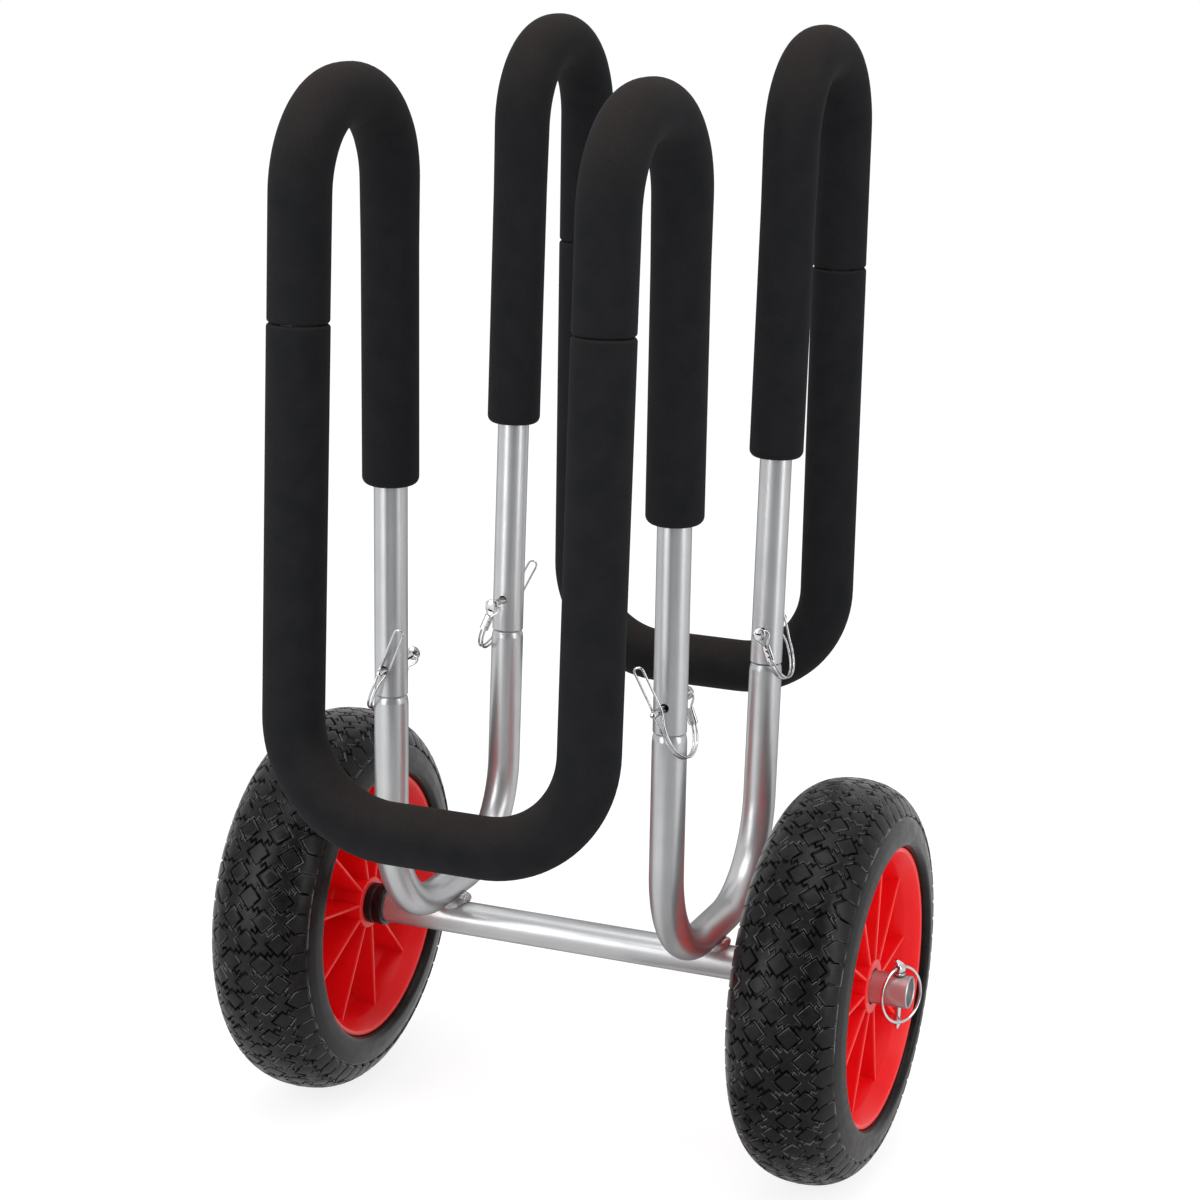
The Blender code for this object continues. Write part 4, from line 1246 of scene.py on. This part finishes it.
@dataclass
class LockPin:
    """A clevis pin through a leg, with its spring-wire bail and crimped ferrule.

    In the pin's own frame the first axis runs from head to tip, the second down in the
    plane of the bail and the third across it.
    """

    side: Side
    end: End
    radius: float = 0.0024
    length: float = 0.0685
    tip_round: float = 0.0014
    head_radius: float = 0.00525
    head_thickness: float = 0.0030
    head_dome: float = 0.0011
    hole_u: float = 0.0060
    hole_radius: float = 0.0013
    wire: float = 0.0009
    wire_sides: int = 14
    drop: float = 0.0435
    side_u: tuple = (0.0070, 0.0592)
    end_u: float = 0.0669
    end_v: float = -0.0276
    bend: float = 0.0261
    top_bend: float = 0.020
    stub: float = 0.0012
    stub_bend: float = 0.0011
    head_gap: float = 0.0062
    ferrule_gap: float = 0.0015
    loop_gap: float = 0.0036
    ferrule_at: tuple = (0.0072, 0.0170)
    ferrule_half: tuple = (0.0021, 0.0060, 0.0037)
    ferrule_power: tuple = (0.62, 0.80)
    crimp: tuple = (0.42, 0.13, 0.03)

    @property
    def label(self) -> str:
        """The corner of the cart that the pin is at."""
        return f"{self.end.value}_{self.side.value}"

    def places(self) -> tuple[np.ndarray, np.ndarray]:
        """Matrices of the pin from its head, and of the bail from its cross hole."""
        corner = CORNERS[self.end, self.side]
        tilt, swing, about_x, about_z = np.radians([corner.tilt, corner.swing, *corner.skew])
        skew = np.array(Matrix.Rotation(about_x, 3, "X") @ Matrix.Rotation(about_z, 3, "Z"))
        along = skew @ (0.0, self.end.sign, 0.0)
        down = skew @ (self.side.sign * math.sin(tilt), 0.0, -math.cos(tilt))
        across = np.cross(along, down)
        head = LAYOUT.leg(self.side, self.end, PIN_HEIGHT[self.end]) + along * corner.head
        swung = along * math.cos(swing) + down * math.sin(swing)
        swung_down = down * math.cos(swing) - along * math.sin(swing)
        return (
            placement(head, (along, down, across)),
            placement(head + along * self.hole_u, (swung, swung_down, across)),
        )

    def pin(self, place: np.ndarray) -> Object:
        """The pin with a domed head, a rounded tip and its cross hole."""
        turn = np.linspace(0, math.pi / 2, 6)
        cos, sin = np.cos(turn), np.sin(turn)
        thick, wide = self.head_thickness, self.head_radius
        rim = [(thick - 0.0003, wide), (thick, wide - 0.0004), (thick, self.radius)]
        dome = stacked(self.head_dome * (1 - cos), wide * sin)
        tip = stacked(self.length - self.tip_round * (1 - sin), self.radius * cos**0.6)
        route = Route([(0, 0, 0), (self.length, 0, 0)], [])
        shape = swept(route, np.concatenate([dome, rim, tip]), 40, (0, 1, 0), closed=False)
        obj = make_object(f"{self.label}_clevis_pin", shape.placed(place), 40.0)
        ends = [(self.hole_u, 0, reach) for reach in (-2 * self.radius, 2 * self.radius)]
        drill(obj, [rod(*ends, self.hole_radius, 20).placed(place)])
        return obj

    def wire_line(self) -> np.ndarray:
        """The bail's centre line from one stub in the cross hole round to the other.

        One side is a plane path whose distance from the bail's plane follows the
        length: wide at the head, close through the ferrule and wide again in the loop.
        The other side mirrors it, and half a circle joins them at the far end.
        """
        low, high = (u - self.hole_u for u in self.side_u)
        corners = [
            (0, self.stub, 0), (low, self.drop, 0), (high, self.drop, 0), (high - 0.001, 0.002, 0),
            (self.end_u - self.hole_u, self.end_v, 0),
        ]
        path = Route(corners, [self.bend, self.bend, self.top_bend])
        lengths = np.linspace(0, path.length, 150)
        points, tangents = path.at(lengths)
        loop = path.pieces[4][0]
        closing = ease(lengths, 0.0015, 0.0105)
        opening = ease(lengths, loop - 0.004, loop + 0.014)
        points[:, 2] = (
            self.head_gap
            + (self.ferrule_gap - self.head_gap) * closing
            + (self.loop_gap - self.ferrule_gap) * opening
        )
        turn, bend = np.linspace(0, math.pi / 2, 7)[:-1], self.stub_bend
        stub = stacked(0.0, bend * (1 - np.cos(turn)), self.head_gap - bend + bend * np.sin(turn))
        near = np.concatenate([[[0, 0, self.stub]], stub, points])
        turn = np.linspace(0, math.pi, 14)[1:-1, None]
        crown = np.sin(turn) * tangents[-1] + np.cos(turn) * (0, 0, 1.0)
        crown = points[-1] * (1, 1, 0) + self.loop_gap * crown
        return np.concatenate([near, crown, near[::-1] * (1, 1, -1)])

    def bail(self, place: np.ndarray) -> Object:
        """The spring wire along its centre line, with flat ends."""
        line = self.wire_line()
        across, upward = carried_frames(unit(np.gradient(line, axis=0)), (1, 0, 0))
        angle = circle(self.wire_sides)[:, None]
        ring = np.cos(angle) * across[:, None] + np.sin(angle) * upward[:, None]
        shape = grid_shape(line[:, None] + self.wire * ring, False, True)
        shape = shape.capped(self.wire_sides).placed(place)
        return make_object(f"{self.label}_spring_bail", shape, 60.0)

    def ferrule(self, place: np.ndarray) -> Object:
        """The crimped sleeve round the two wires.

        Its section is a superellipse that narrows at two crimps along its length, and
        its ends are drawn in to a small rim.
        """
        thick, half, wide = self.ferrule_half
        middle, width, depth = self.crimp
        along = np.concatenate([[-1, -1], np.linspace(-1, 1, 33), [1, 1]])[:, None]
        scale = np.concatenate([[0.0, 0.86], np.ones(33), [0.86, 0.0]])[:, None]
        crimp = 1 - depth * bell(np.abs(along), middle, width)
        flat = squared(np.cos(circle(32)), self.ferrule_power[0])
        side = squared(np.sin(circle(32)), self.ferrule_power[1])
        u, v = self.ferrule_at
        points = stacked(
            u - self.hole_u + thick * scale * crimp * flat,
            v + half * along,
            wide * scale * (0.6 + 0.4 * crimp) * side,
        )
        shape = grid_shape(points, False, True).placed(place)
        return make_object(f"{self.label}_ferrule", shape, 50.0)

    def build(self) -> None:
        """Make the pin, its bail and the ferrule."""
        pin_place, bail_place = self.places()
        name = self.label
        report(self.pin(pin_place), f"{name}_pin", ZINC_PLATE, f"{name}_lock_pin")
        report(self.bail(bail_place), f"{name}_bail", ZINC_PLATE, f"{name}_pin_bail")
        report(self.ferrule(bail_place), f"{name}_bail", ZINC_PLATE, f"{name}_bail_ferrule")


@dataclass
class LinchPin:
    """The upright pin through the axle's end, with a hooked head and a wire ring."""

    side: Side
    x: float = 0.2665
    radius: float = 0.0025
    tip: float = -0.0310
    collar: tuple = (0.0132, 0.0150)
    collar_radius: float = 0.0045
    collar_ease: float = 0.0003
    head_half: tuple = (0.00325, 0.0040, 0.0045)
    head_power: tuple = (0.5, 0.55, 0.45, 0.35)
    head_z: float = 0.0194
    eye: float = 0.0024
    eye_reach: float = 0.008
    claw: float = 0.0050
    ring_radius: float = 0.0215
    ring_wire: float = 0.0012
    hinge_z: float = 0.0190
    ring_turn: float = 27.0
    ring_lean: float = 6.5

    def __post_init__(self) -> None:
        """Find the ring's hinge line, the direction off the wheel, and the middle."""
        turn, sign = math.radians(self.ring_turn), self.side.sign
        self.hinge = np.array([sign * math.sin(turn), math.cos(turn), 0.0])
        self.outward = np.array([sign * math.cos(turn), -math.sin(turn), 0.0])
        self.centre = np.array([sign * self.x, 0.0, LAYOUT.axle_z])

    def shank(self) -> Object:
        """The shank with its tapered tip and its collar."""
        low, high = self.collar
        wide, narrow, rim = self.collar_radius, self.radius, self.collar_ease
        foot, neck = self.tip, self.head_z - 0.002
        outline = np.array(
            [(foot, 0), (foot, 0.0008), (foot + 0.0012, 0.0015), (foot + 0.004, narrow),
             (low, narrow), (low, wide - rim), (low + rim, wide), (high - rim, wide),
             (high, wide - rim), (high, narrow), (neck, narrow), (neck, 0)]
        )
        route = Route([(0, 0, foot), (0, 0, neck)], [])
        shape = swept(route, outline - (foot, 0), 36, closed=False)
        shape = Shape(shape.points, shape.faces).placed(placement(self.centre))
        return make_object(f"{self.side.value}_linch_shank", shape, 40.0)

    def head(self) -> Object:
        """The rounded head, with its claw and its eye. Its sections are superellipses."""
        up, around = np.linspace(0, math.pi, 25)[:, None], circle(40)
        out_half, hinge_half, up_half = self.head_half
        out_power, hinge_power, lift_power, ring_power = self.head_power
        lift = -squared(np.cos(up), lift_power) * up_half
        top = np.clip(lift / up_half, 0, 1) ** 2
        ring = squared(np.sin(up), ring_power) * (1 - 0.5 * top)
        out = squared(np.cos(around), out_power) * ring * out_half - self.claw * top
        aside = squared(np.sin(around), hinge_power) * ring * hinge_half
        points = out[..., None] * self.outward + aside[..., None] * self.hinge
        points[..., 2] += self.head_z + lift
        shape = grid_shape(points, False, True).placed(placement(self.centre))
        obj = make_object(f"{self.side.value}_linch_head", shape, 40.0)
        eye, reach = self.centre + (0, 0, self.hinge_z), self.hinge * self.eye_reach
        drill(obj, [rod(tuple(eye - reach), tuple(eye + reach), self.eye, 24)])
        return obj

    def ring(self) -> Object:
        """The wire ring through the eye.

        A point is the ring's middle plus (R + w cos(b)) times the radial direction plus
        w sin(b) times the ring's normal.
        """
        lean = math.radians(self.ring_lean)
        hang = np.array([0, 0, -math.cos(lean)]) + self.outward * math.sin(lean)
        around, section = circle(120)[:, None], circle(16)[:, None]
        radial = (np.cos(around) * hang + np.sin(around) * self.hinge)[:, None]
        middle = self.centre + (0, 0, self.hinge_z) + hang * self.ring_radius
        points = (
            middle
            + radial * (self.ring_radius + self.ring_wire * np.cos(section))
            + np.cross(hang, self.hinge) * (self.ring_wire * np.sin(section))
        )
        return make_object(f"{self.side.value}_wire_ring", grid_shape(points, True, True), 70.0)

    def build(self) -> None:
        """Make the pin and its ring."""
        name = self.side.value
        for piece in (self.head(), self.shank()):
            report(piece, "chassis", ZINC_PLATE, f"{name}_linch_pin")
        report(self.ring(), f"{name}_ring", ZINC_PLATE, f"{name}_linch_ring")


@dataclass
class Studio:
    """The pale floor, the soft lights and the camera.

    The levels are those of the room, as polished things show it, at the sides and
    where it opens.
    """

    place: tuple = (0.79866, -1.99526, 0.9682)
    yaw: float = 21.633
    pitch: float = 13.934
    roll: float = 1.495
    focal: float = 2855.45
    image: float = 1200.0
    sensor: float = 36.0
    principal: tuple = (594.4, 599.25)
    opening: tuple = (0.42, 0.17)
    side_level: float = 0.60
    opening_level: float = 0.14
    floor_glow: float = 0.83
    floor_reach: float = 14.0
    lamp_target: tuple = (0, 0, 0.4)
    lamps: tuple = (
        ("left_softbox", (-0.95, -1.75, 1.0), (0.7, 1.9), 15.0),
        ("right_softbox", (2.0, -0.25, 1.0), (0.7, 1.9), 11.0),
        ("top_softbox", (0.1, -0.5, 2.9), (1.8, 1.8), 24.0),
    )

    def link(self, name: str, data: bpy.types.ID) -> Object:
        """An object with this data, in the scene."""
        obj = bpy.data.objects.new(name, data)
        bpy.context.scene.collection.objects.link(obj)
        return obj

    def aim(self, obj: Object, place: tuple, right: np.ndarray, forward: np.ndarray) -> None:
        """Put a camera or a lamp at a place, looking forward."""
        axes = (right, np.cross(right, forward), -forward)
        obj.matrix_world = Matrix(placement(place, axes).tolist())

    def camera(self) -> None:
        """The camera at the photograph's place, angle and lens."""
        yaw, pitch, roll = (math.radians(angle) for angle in (self.yaw, self.pitch, self.roll))
        ahead = math.cos(pitch)
        forward = np.array([-math.sin(yaw) * ahead, math.cos(yaw) * ahead, -math.sin(pitch)])
        level = np.array([math.cos(yaw), math.sin(yaw), 0.0])
        right = level * math.cos(roll) + np.cross(level, forward) * math.sin(roll)
        data = bpy.data.cameras.new("camera")
        data.sensor_width = self.sensor
        data.lens = self.focal / self.image * data.sensor_width
        data.shift_x = (self.image / 2 - self.principal[0]) / self.image
        data.shift_y = (self.principal[1] - self.image / 2) / self.image
        data.clip_start, data.clip_end = 0.05, 60.0
        camera = self.link("camera", data)
        self.aim(camera, self.place, right, forward)
        bpy.context.scene.camera = camera

    def backdrop_ray(self, tree: Tree) -> Socket:
        """1 for the rays that show the backdrop: camera, glossy and transmission rays."""
        light = add_node(tree, "LightPath").node.outputs
        seen = {0: light["Is Camera Ray"], 1: light["Is Glossy Ray"]}
        both = {0: add_node(tree, "Math", seen, operation="ADD"), 1: light["Is Transmission Ray"]}
        return add_node(tree, "Math", both, operation="ADD", use_clamp=True)

    def room(self, tree: Tree, source: Socket) -> Socket:
        """The brightness of the room in a direction, as polished things show it.

        White behind the cart, darker at both sides, and darkest where the room opens
        towards the photographer's fixed place. Camera rays see plain white all round.
        """
        flat = add_node(tree, "VectorMath", {0: source, 1: (1, 1, 0)}, operation="MULTIPLY")
        level = add_node(tree, "VectorMath", {0: flat}, operation="NORMALIZE")
        front = unit(np.array([*np.add(self.place[:2], self.opening), 0.0]))
        toward = add_node(
            tree, "VectorMath", {0: level, 1: front}, "Value", operation="DOT_PRODUCT"
        )
        sides, opening = (
            add_node(
                tree, "MapRange", {0: toward, 1: start, 2: end, 3: 1.0, 4: dark},
                interpolation_type="SMOOTHSTEP",
            )
            for start, end, dark in (
                (-0.75, -0.10, self.side_level), (0.72, 0.96, self.opening_level)
            )
        )
        seen = add_node(tree, "Math", {0: sides, 1: opening}, operation="MULTIPLY")
        camera = add_node(tree, "LightPath", out="Is Camera Ray")
        return add_node(tree, "Math", {0: seen, 1: camera}, operation="MAXIMUM")

    def floor(self) -> None:
        """A wide white floor that keeps a soft shadow.

        For the backdrop's rays most of its white glows by itself, so that it doesn't
        turn grey with distance, and the rest takes the shadow.
        """
        signs = [(-1, -1), (1, -1), (1, 1), (-1, 1)]
        corners = [(x * self.floor_reach, y * self.floor_reach, 0) for x, y in signs]
        mesh = bpy.data.meshes.new("floor")
        mesh.from_pydata(corners, [], [(0, 1, 2, 3)])
        floor = self.link("floor", mesh)
        material = bpy.data.materials.new("white_studio_floor")
        material.use_nodes = True
        mesh.materials.append(material)
        tree = material.node_tree
        paint = add_node(tree, "BsdfDiffuse", {"Color": linear("#f4f4f4")})
        catcher = add_node(tree, "BsdfDiffuse", {"Color": linear("#8d8d8d")})
        room = self.room(tree, add_node(tree, "NewGeometry", out="Position"))
        level = add_node(tree, "Math", {0: room, 1: self.floor_glow}, operation="MULTIPLY")
        glow = add_node(tree, "Emission", {"Color": linear("#ffffff"), "Strength": level})
        seen = add_node(tree, "AddShader", {0: catcher, 1: glow})
        both = add_node(tree, "MixShader", {0: self.backdrop_ray(tree), 1: paint, 2: seen})
        tree.links.new(both, tree.nodes["Material Output"].inputs["Surface"])

    def world(self) -> None:
        """A white backdrop, and a softer room that lights everything."""
        world = bpy.data.worlds.new("studio")
        bpy.context.scene.world = world
        world.use_nodes = True
        tree = world.node_tree
        direction = add_node(tree, "TexCoord", out="Generated")
        height = add_node(tree, "SeparateXYZ", {0: direction}, "Z")
        upward = add_node(tree, "MapRange", {0: height, 1: -0.1, 2: 0.9, 3: 0.52, 4: 0.85})
        soft = tree.nodes["Background"]
        soft.inputs["Color"].default_value = linear("#ffffff")
        tree.links.new(upward, soft.inputs["Strength"])
        plain = {"Color": linear("#ffffff"), "Strength": self.room(tree, direction)}
        shaders = {1: soft.outputs[0], 2: add_node(tree, "Background", plain)}
        both = add_node(tree, "MixShader", {0: self.backdrop_ray(tree), **shaders})
        tree.links.new(both, tree.nodes["World Output"].inputs["Surface"])

    def lamp(self, name: str, place: tuple, size: tuple[float, float], power: float) -> None:
        """A softbox that faces the cart, size wide and high."""
        data = bpy.data.lights.new(name, "AREA")
        data.shape, data.energy = "RECTANGLE", power
        data.size, data.size_y = size
        lamp = self.link(name, data)
        lamp.visible_camera = False
        forward = unit(np.array(self.lamp_target) - np.array(place))
        self.aim(lamp, place, unit(np.cross(forward, (0, 0, 1.0))), forward)

    def build(self) -> None:
        """Set the stage."""
        self.camera()
        self.floor()
        self.world()
        for lamp in self.lamps:
            self.lamp(*lamp)
        bpy.context.scene.view_settings.view_transform = "Standard"


def main() -> None:
    """Build the studio and the cart, piece by piece."""
    logging.basicConfig(level=logging.INFO, format="%(name)s: %(message)s")
    Studio().build()
    Axle().build()
    for side in Side:
        LowerFrame(side).build()
        Wheel(side).build()
        LinchPin(side).build()
    for end in End:
        Cradle(end).build()
        for side in Side:
            LockPin(side, end).build()


if __name__ == "__main__":
    main()
